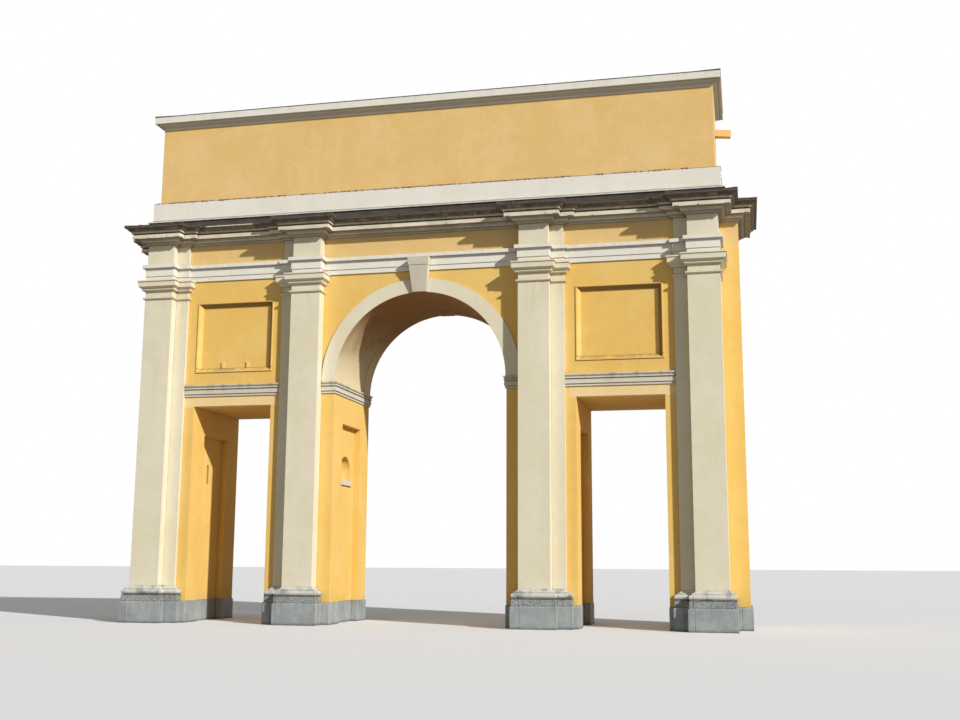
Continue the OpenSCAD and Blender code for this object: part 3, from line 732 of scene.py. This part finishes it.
@dataclass(frozen=True)
class SheetLead:
    """Old sheet lead, dark with pale bloom and dimples from dressing."""

    name: str = "sheet_lead"
    dark: Colour = from_screen(58, 55, 52)
    bloom: Colour = from_screen(98, 95, 90)
    dust: Colour = from_screen(126, 116, 100)

    def build(self) -> bpy.types.Material:
        """Builds the material.

        Returns:
            The material, for Object coordinates.
        """
        coat = Coat(self.name, 1.1, 0.12, self.dark, self.bloom, 0.55)
        coat.stain("ledge_dust", self.dust, Share=0.35)
        edges = coat.effect("worn_edges", Radius=0.006)
        return coat.close((0.6, 0.8), 0.4, 0.01, coat.noise(9.0, 3.0, 0.5), edges["Normal"], metal=0.1)


@dataclass(frozen=True)
class PaintedIron:
    """Small ironwork under old ochre limewash, rusting through."""

    name: str = "painted_iron"
    paint: Colour = from_screen(132, 98, 52)
    rust: Colour = from_screen(92, 60, 34)

    def build(self) -> bpy.types.Material:
        """Builds the material.

        Returns:
            The material, for Object coordinates.
        """
        coat = Coat(self.name, 9.0, 0.06, self.paint, self.rust, 0.5)
        grain = coat.effect("plaster_grain", Grit=160.0, Trowel=20.0)
        return coat.close((0.55, 0.85), 0.5, 0.002, grain["Height"])


FINISHES = (
    Plaster(
        "ochre_plaster", *OCHRE, upper=from_screen(230, 194, 128), door_band=DoorBand(), splash_reach=1.1,
        crease_soot_and_shade_share=0.2,
    ),
    Plaster("attic_plaster", *PALE_OCHRE, mottling=0.025, crack_share=0.08, fade_share=0.6),
    # Vault, archivolt and keystone: painted shade on the soffit, darker towards the crown.
    Plaster("vault_plaster", *OCHRE, soffit=2.7),
    Plaster("pilaster_plaster", *CREAM, run_tops=(9.6,), run_length=1.2, crack_share=0.15),
    Plaster("archivolt_plaster", *CREAM, soffit=2.548),
    Plaster("keystone_plaster", *GREYED, soffit=2.548),
    # White plaster: painted shade on its undersides.
    Plaster(
        "white_plaster", *WHITE, run_tops=(15.56, 10.66), run_length=0.4, joint_levels=(15.548,),
        joint_half=0.018, underside_shade_share=0.45,
    ),
    Plaster("base_course_plaster", *WHITE, joint_levels=(12.162, 12.726), joint_half=0.022),
    # Mouldings: strong painted shade, with sooting, in creases and near corners.
    Plaster(
        "moulding_plaster", *GREYED, run_tops=(6.97,), run_length=0.4, run_share=0.5, crease_soot_and_shade_share=0.7,
        soot_and_shade_share=0.5,
    ),
    # Panels: painted shade on the frame's splays that face down or to the left.
    Plaster(
        "panel_plaster", *OCHRE, away_shade_share=0.8, crease_soot_and_shade_share=0.05, joint_levels=(7.463,), joint_half=0.016
    ),
    Plaster("lintel_plaster", DOOR_PAINT, from_screen(243, 216, 162), SOIL_AND_SHADE_OCHRE, crease_soot_and_shade_share=0.2),
    Plaster("staple_plaster", from_screen(242, 206, 124), from_screen(244, 214, 144), SOIL_AND_SHADE_OCHRE),
    Plaster(
        "broken_mortar", from_screen(150, 98, 66), from_screen(188, 150, 112), from_screen(100, 70, 48),
        soot_and_shade_share=0.0,
    ),
    CorniceCrust(),
    SootedPodium(),
    PlinthStone(),
    SheetLead(),
    PaintedIron(),
)
FINISH_OF_WORD = {
    "lead": "sheet_lead",
    "deck": "sheet_lead",
    "cornice": "cornice_plaster",
    "podium": "podium_plaster",
    "base_course": "base_course_plaster",
    "attic_coping": "white_plaster",
    "attic": "attic_plaster",
    "spouts": "attic_plaster",
    "barrel": "vault_plaster",
    "archivolt": "archivolt_plaster",
    "keystones": "keystone_plaster",
    "sills": "keystone_plaster",
    "frames": "panel_plaster",
    "lintels": "lintel_plaster",
    "plinth": "plinth_stone",
    "bases": "plinth_stone",
    "string": "moulding_plaster",
    "impost": "moulding_plaster",
    "architrave": "white_plaster",
    "pilaster": "pilaster_plaster",
    "capitals": "pilaster_plaster",
    "frieze": "pilaster_plaster",
}


class Solid:
    """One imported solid, measured where the added pieces sit on it."""

    def __init__(self, name: str) -> None:
        """Takes the solid's mesh and box from the frame.

        Args:
            name: The solid's name.
        """
        self.name = name
        self.mesh = frame["nodes"][name].data
        self.low, self.high = (Vector(corner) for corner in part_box(name))
        corners = [vertex.co for vertex in self.mesh.vertices]
        self.faces = BVHTree.FromPolygons(corners, [tuple(face.vertices) for face in self.mesh.polygons])

    def marks(self, axis: int, apart: float = 0.001) -> list[float]:
        """Lists the distinct places of the solid's corners along one axis.

        Args:
            axis: 0, 1 or 2 for X, Y or Z.
            apart: How far two places lie apart at least.

        Returns:
            The places in rising order.
        """
        places: list[float] = []
        for place in sorted(vertex.co[axis] for vertex in self.mesh.vertices):
            if not places or place - places[-1] > apart:
                places.append(place)
        return places

    def meet(self, start: Vector, towards: Vector) -> Vector:
        """Finds where a straight line first meets the solid.

        Args:
            start: Where the line starts.
            towards: Its direction.

        Returns:
            The point on the solid.
        """
        place = self.faces.ray_cast(start, towards)[0]
        if place is None:
            raise ValueError(f"{self.name} isn't met from {tuple(start)}")
        return place

    def face(self, x: float, z: float, side: int = -1) -> Vector:
        """Returns the point on the solid's front, or on its back for side 1."""
        return self.meet(Vector((x, side * OUTSIDE, z)), Vector((0.0, -side, 0.0)))

    def lay(self, start: Vector, end: Vector, lift: float, steps: int) -> Line:
        """Lays a line on the solid's top.

        Args:
            start: Its first end in plan.
            end: Its last end in plan.
            lift: How far it lies above the top.
            steps: How many parts it has.

        Returns:
            The points.
        """
        line = []
        for number in range(steps + 1):
            place = start.lerp(end, number / steps)
            top = self.meet(Vector((place.x, place.y, self.high.z + 1.0)), Vector((0.0, 0.0, -1.0)))
            line.append(Vector((place.x, place.y, top.z + lift)))
        return line

    def copy(self, name: str) -> bpy.types.Object:
        """Makes a merged copy of the solid.

        Args:
            name: The copy's name.

        Returns:
            The copy, in the scene.
        """
        mesh = bpy.data.meshes.new(name)
        shape = bmesh.new()
        shape.from_mesh(self.mesh)
        bmesh.ops.remove_doubles(shape, verts=shape.verts, dist=0.00001)
        shape.to_mesh(mesh)
        shape.free()
        for attribute in [a for a in mesh.attributes if a.name == "custom_normal"]:
            mesh.attributes.remove(attribute)
        mesh.materials.clear()
        mesh.materials.append(self.mesh.materials[0])
        return linked(name, mesh)


def spread(low: float, high: float, pitch: float) -> list[float]:
    """Spaces places evenly between two ends.

    Args:
        low: The lower end.
        high: The upper end.
        pitch: About how far apart.

    Returns:
        The places, half a step from either end.
    """
    count = max(1, round((high - low) / pitch))
    return [low + (number + 0.5) * (high - low) / count for number in range(count)]


def inset(outline: Line, by: float, height: float) -> Line:
    """Moves the sides of a right-angled outline inwards.

    Args:
        outline: Its corners in plan, anticlockwise from above.
        by: How far.
        height: The height that it gets.

    Returns:
        The new corners.
    """
    moved = []
    for before, here, after in zip(outline[-1:] + outline[:-1], outline, outline[1:] + outline[:1]):
        first, second = (here - before).normalized(), (after - here).normalized()
        corner = here + Vector((-first.y - second.y, first.x + second.x, 0.0)) * by
        moved.append(Vector((corner.x, corner.y, height)))
    return moved


class Recipe(Group):
    """A geometry node tree with named sizes, run along lines and turned into a plain mesh."""

    def __init__(self, name: str, **sizes: float | int) -> None:
        """Opens the tree and turns the lines that come in into curves with level profiles.

        Args:
            name: Its name.
            **sizes: Its named inputs with their defaults.
        """
        inputs = {"Geometry": GEOMETRY, **sizes, "Finish": MATERIAL}
        super().__init__(name, "GeometryNodeTree", inputs, {"Geometry": GEOMETRY})
        curve = self.node("GeometryNodeMeshToCurve", {"Mesh": self["Geometry"]})[0]
        self.path = self.node("GeometryNodeSetCurveNormal", {"Curve": curve}, mode="Z_UP")[0]

    def sweep(self, section: str, smooth: bool, **sizes: Signal) -> None:
        """Ends the tree with a section swept along the lines.

        Args:
            section: Blender's name of the section.
            smooth: Whether the sides are round.
            **sizes: The section's sizes.
        """
        profile = self.node("GeometryNodeCurvePrimitive" + section, sizes)[0]
        inputs = {"Curve": self.path, "Profile Curve": profile, "Fill Caps": True}
        swept = self.node("GeometryNodeCurveToMesh", inputs)[0]
        self.close(self.node("GeometryNodeSetShadeSmooth", {"Geometry": swept, "Shade Smooth": smooth})[0])

    def close(self, shape: Signal) -> None:
        """Ends the tree: everything made real and given the finish."""
        real = self.node("GeometryNodeRealizeInstances", {"Geometry": shape})[0]
        self.give(Geometry=self.node("GeometryNodeSetMaterial", {"Geometry": real, "Material": self["Finish"]})[0])

    def run(
        self, name: str, lines: list[Line], finish: bpy.types.Material, closed: bool = False, **sizes: float | int
    ) -> bpy.types.Object:
        """Runs the tree along lines.

        Args:
            name: The new piece's name.
            lines: The lines, each a list of points.
            finish: Its material.
            closed: Whether each line returns to its start.
            **sizes: The tree's inputs.

        Returns:
            The piece, a plain mesh at the origin.
        """
        points: Line = []
        edges: list[tuple[int, int]] = []
        for line in lines:
            first = len(points)
            points += line
            edges += [(first + number, first + number + 1) for number in range(len(line) - 1)]
            if closed:
                edges.append((first + len(line) - 1, first))
        mesh = bpy.data.meshes.new(name + "_lines")
        mesh.from_pydata(points, edges, [])
        piece = linked(name, mesh)
        modifier = piece.modifiers.new(self.tree.name, "NODES")
        modifier.node_group = self.tree
        given = {"Finish": finish, **sizes}
        for item in self.tree.interface.items_tree:
            if item.in_out == "INPUT" and item.name in given:
                modifier[item.identifier] = given[item.name]
        return baked(piece)


def baked(piece: bpy.types.Object) -> bpy.types.Object:
    """Turns a piece with its modifiers into a plain mesh.

    Args:
        piece: The piece.

    Returns:
        The same piece, without modifiers.
    """
    ready = piece.evaluated_get(bpy.context.evaluated_depsgraph_get())
    rough, result = piece.data, bpy.data.meshes.new_from_object(ready)
    piece.modifiers.clear()
    piece.data = result
    bpy.data.meshes.remove(rough)
    return piece


def bar_recipe() -> Recipe:
    """Builds the tree for flat bars that follow a line.

    Returns:
        The tree.
    """
    recipe = Recipe("flat_bar", Width=0.03, Height=0.01)
    recipe.sweep("Quadrilateral", False, Width=recipe["Width"], Height=recipe["Height"])
    return recipe


def roll_recipe() -> Recipe:
    """Builds the tree for round rolls that follow a line.

    Returns:
        The tree.
    """
    recipe = Recipe("round_roll", Radius=0.02, Sides=10)
    recipe.sweep("Circle", True, Resolution=recipe["Sides"], Radius=recipe["Radius"])
    return recipe


def crumb_recipe() -> Recipe:
    """Builds the tree for crumbs and lumps strewn along a line, in ragged groups.

    Returns:
        The tree.
    """
    recipe = Recipe("strewn_crumbs", Spacing=0.03, Size=0.02, Spread=0.02, Gaps=0.5, Roundness=1, Seed=1)
    recipe.place = recipe.node("GeometryNodeInputPosition")[0]

    def chance(low: Colour, high: Colour, shift: float) -> Signal:
        """Returns a random vector between two others."""
        inputs = {0: low, 1: high, "Seed": recipe["Seed"] + shift}
        return recipe.node("FunctionNodeRandomValue", inputs, data_type="FLOAT_VECTOR")[0]

    spots = recipe.node("GeometryNodeCurveToPoints", {"Curve": recipe.path, "Length": recipe["Spacing"]}, mode="LENGTH")
    strayed = {0: chance((-1.0, -1.0, -0.3), (1.0, 1.0, 0.3), 0.0), "Scale": recipe["Spread"]}
    step = recipe.node("ShaderNodeVectorMath", strayed, operation="SCALE")[0]
    lump = recipe.node("GeometryNodeMeshIcoSphere", {"Radius": recipe["Size"], "Subdivisions": recipe["Roundness"]})
    sizes = {
        "Points": recipe.node("GeometryNodeSetPosition", {"Geometry": spots["Points"], "Offset": step})[0],
        "Selection": recipe.noise(1.7, 4.0, 0.7) > recipe["Gaps"],
        "Instance": lump["Mesh"],
        "Rotation": chance((0.0, 0.0, 0.0), (FULL_TURN,) * 3, 1.0),
        "Scale": chance((0.35, 0.35, 0.25), (1.0, 1.0, 0.7), 2.0),
    }
    recipe.close(recipe.node("GeometryNodeInstanceOnPoints", sizes)[0])
    return recipe


@dataclass
class Workshop:
    """The recipes and the finishes, and the hand-over of what is made with them."""

    built: dict[str, bpy.types.Material]
    bar: Recipe = field(default_factory=bar_recipe)
    roll: Recipe = field(default_factory=roll_recipe)
    crumbs: Recipe = field(default_factory=crumb_recipe)

    def dress(self, nodes: dict[str, bpy.types.Object]) -> None:
        """Gives every solid its material.

        Args:
            nodes: The solids by name.
        """
        for name, solid in sorted(nodes.items()):
            chosen = next((finish for word, finish in FINISH_OF_WORD.items() if word in name), "ochre_plaster")
            solid.data.materials.clear()
            solid.data.materials.append(self.built[chosen])
            log.info("solid %s: %s", name, chosen)

    def make(
        self, recipe: Recipe, name: str, lines: list[Line], finish: str, slot: Slot, closed: bool = False,
        **sizes: float | int,
    ) -> None:
        """Makes a piece of the arch along lines.

        Args:
            recipe: The tree that makes it.
            name: The piece's name.
            lines: The lines.
            finish: The name of its finish.
            slot: Its material slot.
            closed: Whether each line returns to its start.
            **sizes: The tree's inputs.
        """
        self.hand_over(recipe.run(name, lines, self.built[finish], closed, **sizes), slot)

    def hand_over(self, piece: bpy.types.Object, slot: Slot) -> None:
        """Fixes a piece to the arch and reports it.

        Args:
            piece: The piece.
            slot: Its material slot; not used.
        """
        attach(piece, BODY)
        low, high = ([round(end(v.co[i] for v in piece.data.vertices), 3) for i in range(3)] for end in (min, max))
        log.info("piece %s: %d faces, %s to %s", piece.name, len(piece.data.polygons), low, high)


@dataclass
class CorniceLead:
    """Sheet lead over the cornice: welted seams, hips and a dressed edge that hangs over the cyma."""

    shop: Workshop
    pitch: float = 1.05
    welt_radius: float = 0.016
    welt_parts: int = 6
    welt_bedding: float = 0.3
    welt_back: float = 0.004
    welt_sides: int = 10
    edge_back: float = 0.0035
    edge_thick: float = 0.005
    edge_drop: float = 0.02
    hip_short: float = 0.02
    tucked_in: float = 0.01
    same_level: float = 0.01
    same_run: float = 0.005
    lead: Solid = field(default_factory=lambda: Solid("cornice_lead"))
    podium: Solid = field(default_factory=lambda: Solid("attic_podium"))

    def runs(self, side: int) -> list[tuple[float, float, float]]:
        """Reads the straight runs of the lead's edge along one side.

        Args:
            side: -1 for the front, 1 for the back.

        Returns:
            From left to right, each run's two ends on X and its place on Y.
        """
        level = sum(self.lead.marks(2)[:2]) / 2
        stops = sorted({round(v.co.x, 3) for v in self.lead.mesh.vertices if abs(v.co.z - level) < self.same_level})
        found: list[tuple[float, float, float]] = []
        for first, last in zip(stops, stops[1:]):
            y = self.lead.face((first + last) / 2, level, side).y
            if found and abs(found[-1][2] - y) < self.same_run:
                first = found.pop()[0]
            found.append((first, last, y))
        return found

    def outline(self) -> Line:
        """Returns the lead's edge in plan, anticlockwise."""
        back = [(last, first, y) for first, last, y in reversed(self.runs(1))]
        return [Vector((x, y, 0.0)) for first, last, y in self.runs(-1) + back for x in (first, last)]

    def seams(self) -> list[Line]:
        """Finds the lines of the welts: along each slope, and up the hips of the breaks.

        Returns:
            The lines, laid on the lead.
        """
        ends: list[tuple[Vector, Vector]] = []
        back = self.welt_radius + self.welt_back
        foot = self.podium.high - Vector((self.tucked_in, self.tucked_in, 0.0))
        for side in (-1, 1):
            for first, last, y in self.runs(side):
                if abs(y) < foot.y:
                    sign = 1 if first > 0 else -1
                    for place in spread(-abs(y), 0.0, self.pitch / 2):
                        outer = Vector((sign * (max(abs(first), abs(last)) - back), side * abs(place)))
                        ends.append((outer, Vector((sign * foot.x, outer.y))))
                elif last - first >= self.pitch / 2:
                    for x in spread(first, last, self.pitch):
                        ends.append((Vector((x, y - side * back)), Vector((x, side * foot.y))))
                    if abs(y) >= self.lead.high.y - self.same_level:
                        reach = abs(y) - foot.y + self.tucked_in - back - self.hip_short
                        for x, inward in ((first, 1), (last, -1)):
                            outer = Vector((x + inward * back, y - side * back))
                            ends.append((outer, outer + Vector((inward, -side)) * reach))
        lift = self.welt_radius * self.welt_bedding
        return [self.lead.lay(outer, inner, lift, self.welt_parts) for outer, inner in ends]

    def build(self) -> None:
        """Builds the welts and the dressed edge."""
        make = self.shop.make
        make(
            self.shop.roll, "cornice_lead_welts", self.seams(), "sheet_lead", Slot.LEAD, Radius=self.welt_radius,
            Sides=self.welt_sides,
        )
        edge = inset(self.outline(), self.edge_back, self.lead.low.z - self.edge_drop / 2)
        make(
            self.shop.bar, "cornice_lead_drip", [edge], "sheet_lead", Slot.LEAD, closed=True, Width=self.edge_thick,
            Height=self.edge_drop,
        )


@dataclass
class RoofLead:
    """Sheet lead of the roof: rolls down the deck, flashings round it, and seams across the coping."""

    shop: Workshop
    margin: float = 0.006
    roll_radius: float = 0.022
    roll_pitch: float = 0.48
    roll_bedding: float = 0.4
    roll_sides: int = 12
    sheet_length: float = 2.4
    sheet_stagger: float = 0.5
    lap_width: float = 0.05
    lap_height: float = 0.01
    lap_lift: float = 0.003
    flashing_height: float = 0.15
    flashing_thick: float = 0.005
    inlet_half: float = 0.13
    seam_pitch: float = 1.25
    seam_width: float = 0.035
    seam_height: float = 0.024
    seam_back: float = 0.03
    seam_past: float = 0.004
    below_top: float = 0.001
    deck: Solid = field(default_factory=lambda: Solid("roof_deck"))
    coping: Solid = field(default_factory=lambda: Solid("coping_lead"))

    def build_deck(self) -> None:
        """Builds the rolls, the cross joints and the flashings of the deck."""
        shop, deck = self.shop, self.deck
        half_x, half_y = deck.high.x - self.margin, deck.high.y - self.margin

        def along(y: float, lift: float) -> Line:
            """Returns a line from end to end of the deck."""
            return deck.lay(Vector((-half_x, y)), Vector((half_x, y)), lift, 2)

        def across(x: float, low: float, high: float, lift: float) -> Line:
            """Returns a short line across the deck."""
            return deck.lay(Vector((x, low)), Vector((x, high)), lift, 1)

        rows = spread(-half_y, half_y, self.roll_pitch)
        rolls = [along(y, self.roll_bedding * self.roll_radius) for y in rows]
        shop.make(
            shop.roll, "deck_rolls", rolls, "sheet_lead", Slot.LEAD, Radius=self.roll_radius, Sides=self.roll_sides
        )
        laps = []
        for number, (low, high) in enumerate(zip([-half_y, *rows], [*rows, half_y])):
            shift = self.sheet_stagger if number % 2 else -self.sheet_stagger
            laps += [across(x + shift, low, high, self.lap_lift) for x in spread(-half_x, half_x, self.sheet_length)]
        shop.make(shop.bar, "deck_laps", laps, "sheet_lead", Slot.LEAD, Width=self.lap_width, Height=self.lap_height)
        lift = self.flashing_height / 2
        upstands = [along(y, lift) for y in (-half_y, half_y)]
        upstands += [
            across(x, y, math.copysign(self.inlet_half, y), lift) for x in (-half_x, half_x) for y in (-half_y, half_y)
        ]
        shop.make(
            shop.bar, "deck_flashings", upstands, "sheet_lead", Slot.LEAD, Width=self.flashing_thick,
            Height=self.flashing_height,
        )

    def build_coping(self) -> None:
        """Builds the flat seams across the coping's lead and its mitred corners."""
        outer_x, outer_y = self.coping.high.x - self.seam_back, self.coping.high.y - self.seam_back
        inner_x, inner_y = (min(place for place in self.coping.marks(axis) if place > 0) for axis in (0, 1))
        level = self.coping.high.z - self.below_top - self.seam_height / 2
        ends = []
        for side in (-1, 1):
            for x in spread(-inner_x, inner_x, self.seam_pitch):
                ends.append(((x, side * outer_y), (x, side * (inner_y + self.seam_past))))
            for y in spread(-inner_y, inner_y, self.seam_pitch):
                ends.append(((side * outer_x, y), (side * (inner_x + self.seam_past), y)))
            for other in (-1, 1):
                ends.append(((side * outer_x, other * outer_y), (side * inner_x, other * inner_y)))
        lines = [[Vector((*place, level)) for place in pair] for pair in ends]
        self.shop.make(
            self.shop.bar, "coping_lead_seams", lines, "sheet_lead", Slot.LEAD, Width=self.seam_width,
            Height=self.seam_height,
        )


@dataclass
class BrokenMortar:
    """Ragged mortar: crumbs along the base course's top and fillets over the cornice's joints."""

    shop: Workshop
    crumb_size: float = 0.04
    crumb_spacing: float = 0.036
    crumb_spread: float = 0.012
    crumb_gaps: float = 0.44
    crumb_back: float = 0.012
    crumb_seed: int = 7
    fill_radius: float = 0.011
    fill_bedding: float = 0.4
    fill_sides: int = 8
    joints: tuple[float, ...] = (-6.62, -5.10, -1.62, 0.14, 1.71, 6.10)
    fill_heights: tuple[float, ...] = (11.50, 11.53, 11.55, 11.58, 11.61, 11.635, 11.66)
    course: Solid = field(default_factory=lambda: Solid("attic_base_course"))
    cornice: Solid = field(default_factory=lambda: Solid("cornice"))

    def build(self) -> None:
        """Builds the crumbs and the fillets."""
        top = self.course.high
        half_x, half_y = top.x - self.crumb_back, top.y - self.crumb_back
        corners = [Vector((x * half_x, y * half_y, top.z)) for x, y in ((-1, -1), (1, -1), (1, 1), (-1, 1))]
        self.shop.make(
            self.shop.crumbs, "base_course_crumbs", [corners], "broken_mortar", Slot.WHITE, closed=True,
            Spacing=self.crumb_spacing, Size=self.crumb_size, Spread=self.crumb_spread, Gaps=self.crumb_gaps,
            Seed=self.crumb_seed,
        )
        lines = []
        for side in (-1, 1):
            bed = Vector((0.0, -side * self.fill_radius * self.fill_bedding, 0.0))
            lines += [[self.cornice.face(-side * x, z, side) + bed for z in self.fill_heights] for x in self.joints]
        self.shop.make(
            self.shop.roll, "cornice_joint_fills", lines, "white_plaster", Slot.WHITE, Radius=self.fill_radius,
            Sides=self.fill_sides,
        )


@dataclass
class ChippedCornice:
    """The cornice with pieces knocked and frosted off its edges."""

    shop: Workshop
    plan: CorniceLead
    lump: float = 0.045
    lump_spread: float = 0.016
    lump_gaps: float = 0.55
    spacing: float = 0.42
    named_lump: float = 0.08
    named_place: tuple[float, float] = (-7.80, 11.418)
    edges: tuple[float, ...] = (11.418, 11.572, 11.716)
    above_edge: float = 0.003
    roundness: int = 2
    first_seed: int = 30
    named_seed: int = 5
    solid: Solid = field(default_factory=lambda: Solid("cornice"))

    def edge_line(self, height: float) -> Line:
        """Returns the outline of the cornice's edge at one height.

        Args:
            height: The edge's height.

        Returns:
            The outline in plan at that height.
        """
        runs = self.plan.runs(-1)
        first, last, y = runs[len(runs) // 2]
        face = self.solid.face((first + last) / 2, height + self.above_edge)
        return inset(self.plan.outline(), face.y - y, height)

    def build(self) -> None:
        """Cuts the lumps out of a copy of the cornice, which then stands for it."""
        strew, finish = self.shop.crumbs.run, self.shop.built["cornice_plaster"]
        common = {"Spacing": self.spacing, "Roundness": self.roundness}
        small = {**common, "Size": self.lump, "Spread": self.lump_spread, "Gaps": self.lump_gaps}
        lumps = [
            strew(f"lumps_{number}", [self.edge_line(height)], finish, True, Seed=self.first_seed + number, **small)
            for number, height in enumerate(self.edges)
        ]
        x, height = self.named_place
        start = Vector((x, self.solid.face(x, height + self.above_edge).y, height))
        line = [start, start + Vector((self.named_lump, 0.0, 0.0))]
        large = {**common, "Size": self.named_lump, "Spread": 0.0, "Gaps": 0.0}
        lumps.append(strew("lump_named", [line], finish, Seed=self.named_seed, **large))
        piece = self.solid.copy("chipped_cornice")
        for lump in lumps:
            cut = piece.modifiers.new("cut", "BOOLEAN")
            cut.operation, cut.solver, cut.object = "DIFFERENCE", "EXACT", lump
        baked(piece)
        for lump in lumps:
            bpy.data.objects.remove(lump)
        for face in piece.data.polygons:
            face.use_smooth = False
        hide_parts(self.solid.name)
        self.shop.hand_over(piece, Slot.WEATHERED)


@dataclass
class PanelStaples:
    """Two small blocks with iron staples in the foot of the left panel, where a tablet was once held."""

    shop: Workshop
    places: tuple[float, ...] = (-6.20, -5.413)
    width: float = 0.024
    height: float = 0.15
    rod: float = 0.008
    rod_sides: int = 8
    bend_steps: int = 8
    sill_mark: int = 4
    above_sill: float = 0.002
    block_width: float = 0.13
    block_height: float = 0.20
    block_depth: float = 0.016
    block_bedding: float = 0.001
    frames: Solid = field(default_factory=lambda: Solid("panel_frames"))
    wall: Solid = field(default_factory=lambda: Solid("left_bay_wall"))

    def line(self, x: float) -> Line:
        """Returns one staple's line: up, round a half circle and down.

        Args:
            x: Its middle.

        Returns:
            The points, on the face of its block.
        """
        foot = self.frames.marks(2)[self.sill_mark] + self.above_sill
        front = self.wall.face(x, foot + self.height / 2).y - self.block_depth
        half, spring = self.width / 2, foot + self.height - self.width / 2
        middle = Vector((x, front, spring))
        angles = [math.pi * (1.0 - step / self.bend_steps) for step in range(self.bend_steps + 1)]
        bend = [middle + Vector((half * math.cos(turn), 0.0, half * math.sin(turn))) for turn in angles]
        return [Vector((x - half, front, foot)), *bend, Vector((x + half, front, foot))]

    def build(self) -> None:
        """Builds both staples and their blocks."""
        shop, lines = self.shop, [self.line(x) for x in self.places]
        shop.make(
            shop.roll, "panel_staples", lines, "painted_iron", Slot.OCHRE, Radius=self.rod, Sides=self.rod_sides
        )
        corner = Vector((-self.rod, self.block_depth / 2 - self.block_bedding, self.block_height / 2))
        across = Vector((self.block_width, 0.0, 0.0))
        blocks = [[line[0] + corner, line[0] + corner + across] for line in lines]
        shop.make(
            shop.bar, "staple_blocks", blocks, "staple_plaster", Slot.OCHRE, Width=self.block_depth,
            Height=self.block_height,
        )


@dataclass(frozen=True)
class Viewpoint:
    """The camera, as a person of usual height stands right of the arch's middle and looks a little up."""

    place: tuple[float, float, float] = (9.059, -33.622, 1.73)
    turn: float = 12.792
    tilt: float = 9.874
    roll: float = 0.285
    lens: float = 43.857
    sensor: float = 36.0
    clip_end: float = 1000.0

    def build(self) -> None:
        """Builds the camera and makes it the scene's."""
        turn, tilt = math.radians(self.turn), math.radians(self.tilt)
        ahead = Vector((-math.sin(turn) * math.cos(tilt), math.cos(turn) * math.cos(tilt), math.sin(tilt)))
        right = Vector((math.cos(turn), math.sin(turn), 0.0))
        axes = Matrix((right, right.cross(ahead), -ahead)).transposed().to_4x4()
        data = bpy.data.cameras.new("camera")
        data.lens = self.lens
        data.sensor_width = self.sensor
        data.sensor_fit = "HORIZONTAL"
        data.clip_end = self.clip_end
        camera = linked("camera", data)
        roll = Matrix.Rotation(math.radians(self.roll), 4, "Z")
        camera.matrix_world = Matrix.Translation(self.place) @ axes @ roll
        bpy.context.scene.camera = camera


@dataclass(frozen=True)
class Studio:
    """Plain pale floor, a soft key light from the front right and an even surround."""

    floor_half: float = 400.0
    floor_seen: float = 0.78
    floor_bounce: float = 0.28
    floor_roughness: float = 0.9
    key_strength: float = 3.95
    key_angle: float = 1.5
    key_towards: tuple[float, float, float] = (-1.45, 1.0, -0.93)
    surround: float = 0.28

    def build_floor(self) -> None:
        """Builds the floor, which throws less light up than it shows."""
        half = self.floor_half
        mesh = bpy.data.meshes.new("floor")
        mesh.from_pydata([(-half, -half, 0), (half, -half, 0), (half, half, 0), (-half, half, 0)], [], [(0, 1, 2, 3)])
        floor = linked("floor", mesh)
        material = bpy.data.materials.new("floor_grey")
        material.use_nodes = True
        w = Wiring(material.node_tree)
        shader = material.node_tree.nodes["Principled BSDF"].inputs
        grey = w.blend(w.looked_at(), (self.floor_bounce,) * 3, (self.floor_seen,) * 3)
        w.join(grey, shader["Base Color"])
        w.join(self.floor_roughness, shader["Roughness"])
        mesh.materials.append(material)

    def build_light(self) -> None:
        """Builds the key lamp and the surround, which is white where it is seen."""
        lamp = bpy.data.lights.new("key", "SUN")
        lamp.energy = self.key_strength
        lamp.angle = math.radians(self.key_angle)
        linked("key", lamp).rotation_euler = Vector(self.key_towards).to_track_quat("-Z", "Y").to_euler()
        world = bpy.data.worlds.new("surround")
        world.use_nodes = True
        bpy.context.scene.world = world
        w = Wiring(world.node_tree)
        background = world.node_tree.nodes["Background"].inputs
        w.join(w.looked_at() * (1.0 - self.surround) + self.surround, background["Strength"])
        w.join((1.0, 1.0, 1.0), background["Color"])
        bpy.context.scene.view_settings.view_transform = "Standard"


def main() -> None:
    """Builds the camera, the studio, the finishes and the added pieces, in that order."""
    logging.basicConfig(level=logging.INFO, format="%(name)s: %(message)s")
    Viewpoint().build()
    Studio().build_floor()
    Studio().build_light()
    build_plaster_effects()
    build_weather_effects()
    shop = Workshop({finish.name: finish.build() for finish in FINISHES})
    shop.dress(frame["nodes"])
    cornice_lead = CorniceLead(shop)
    ChippedCornice(shop, cornice_lead).build()
    cornice_lead.build()
    roof = RoofLead(shop)
    roof.build_deck()
    roof.build_coping()
    BrokenMortar(shop).build()
    PanelStaples(shop).build()


if __name__ == "__main__":
    main()
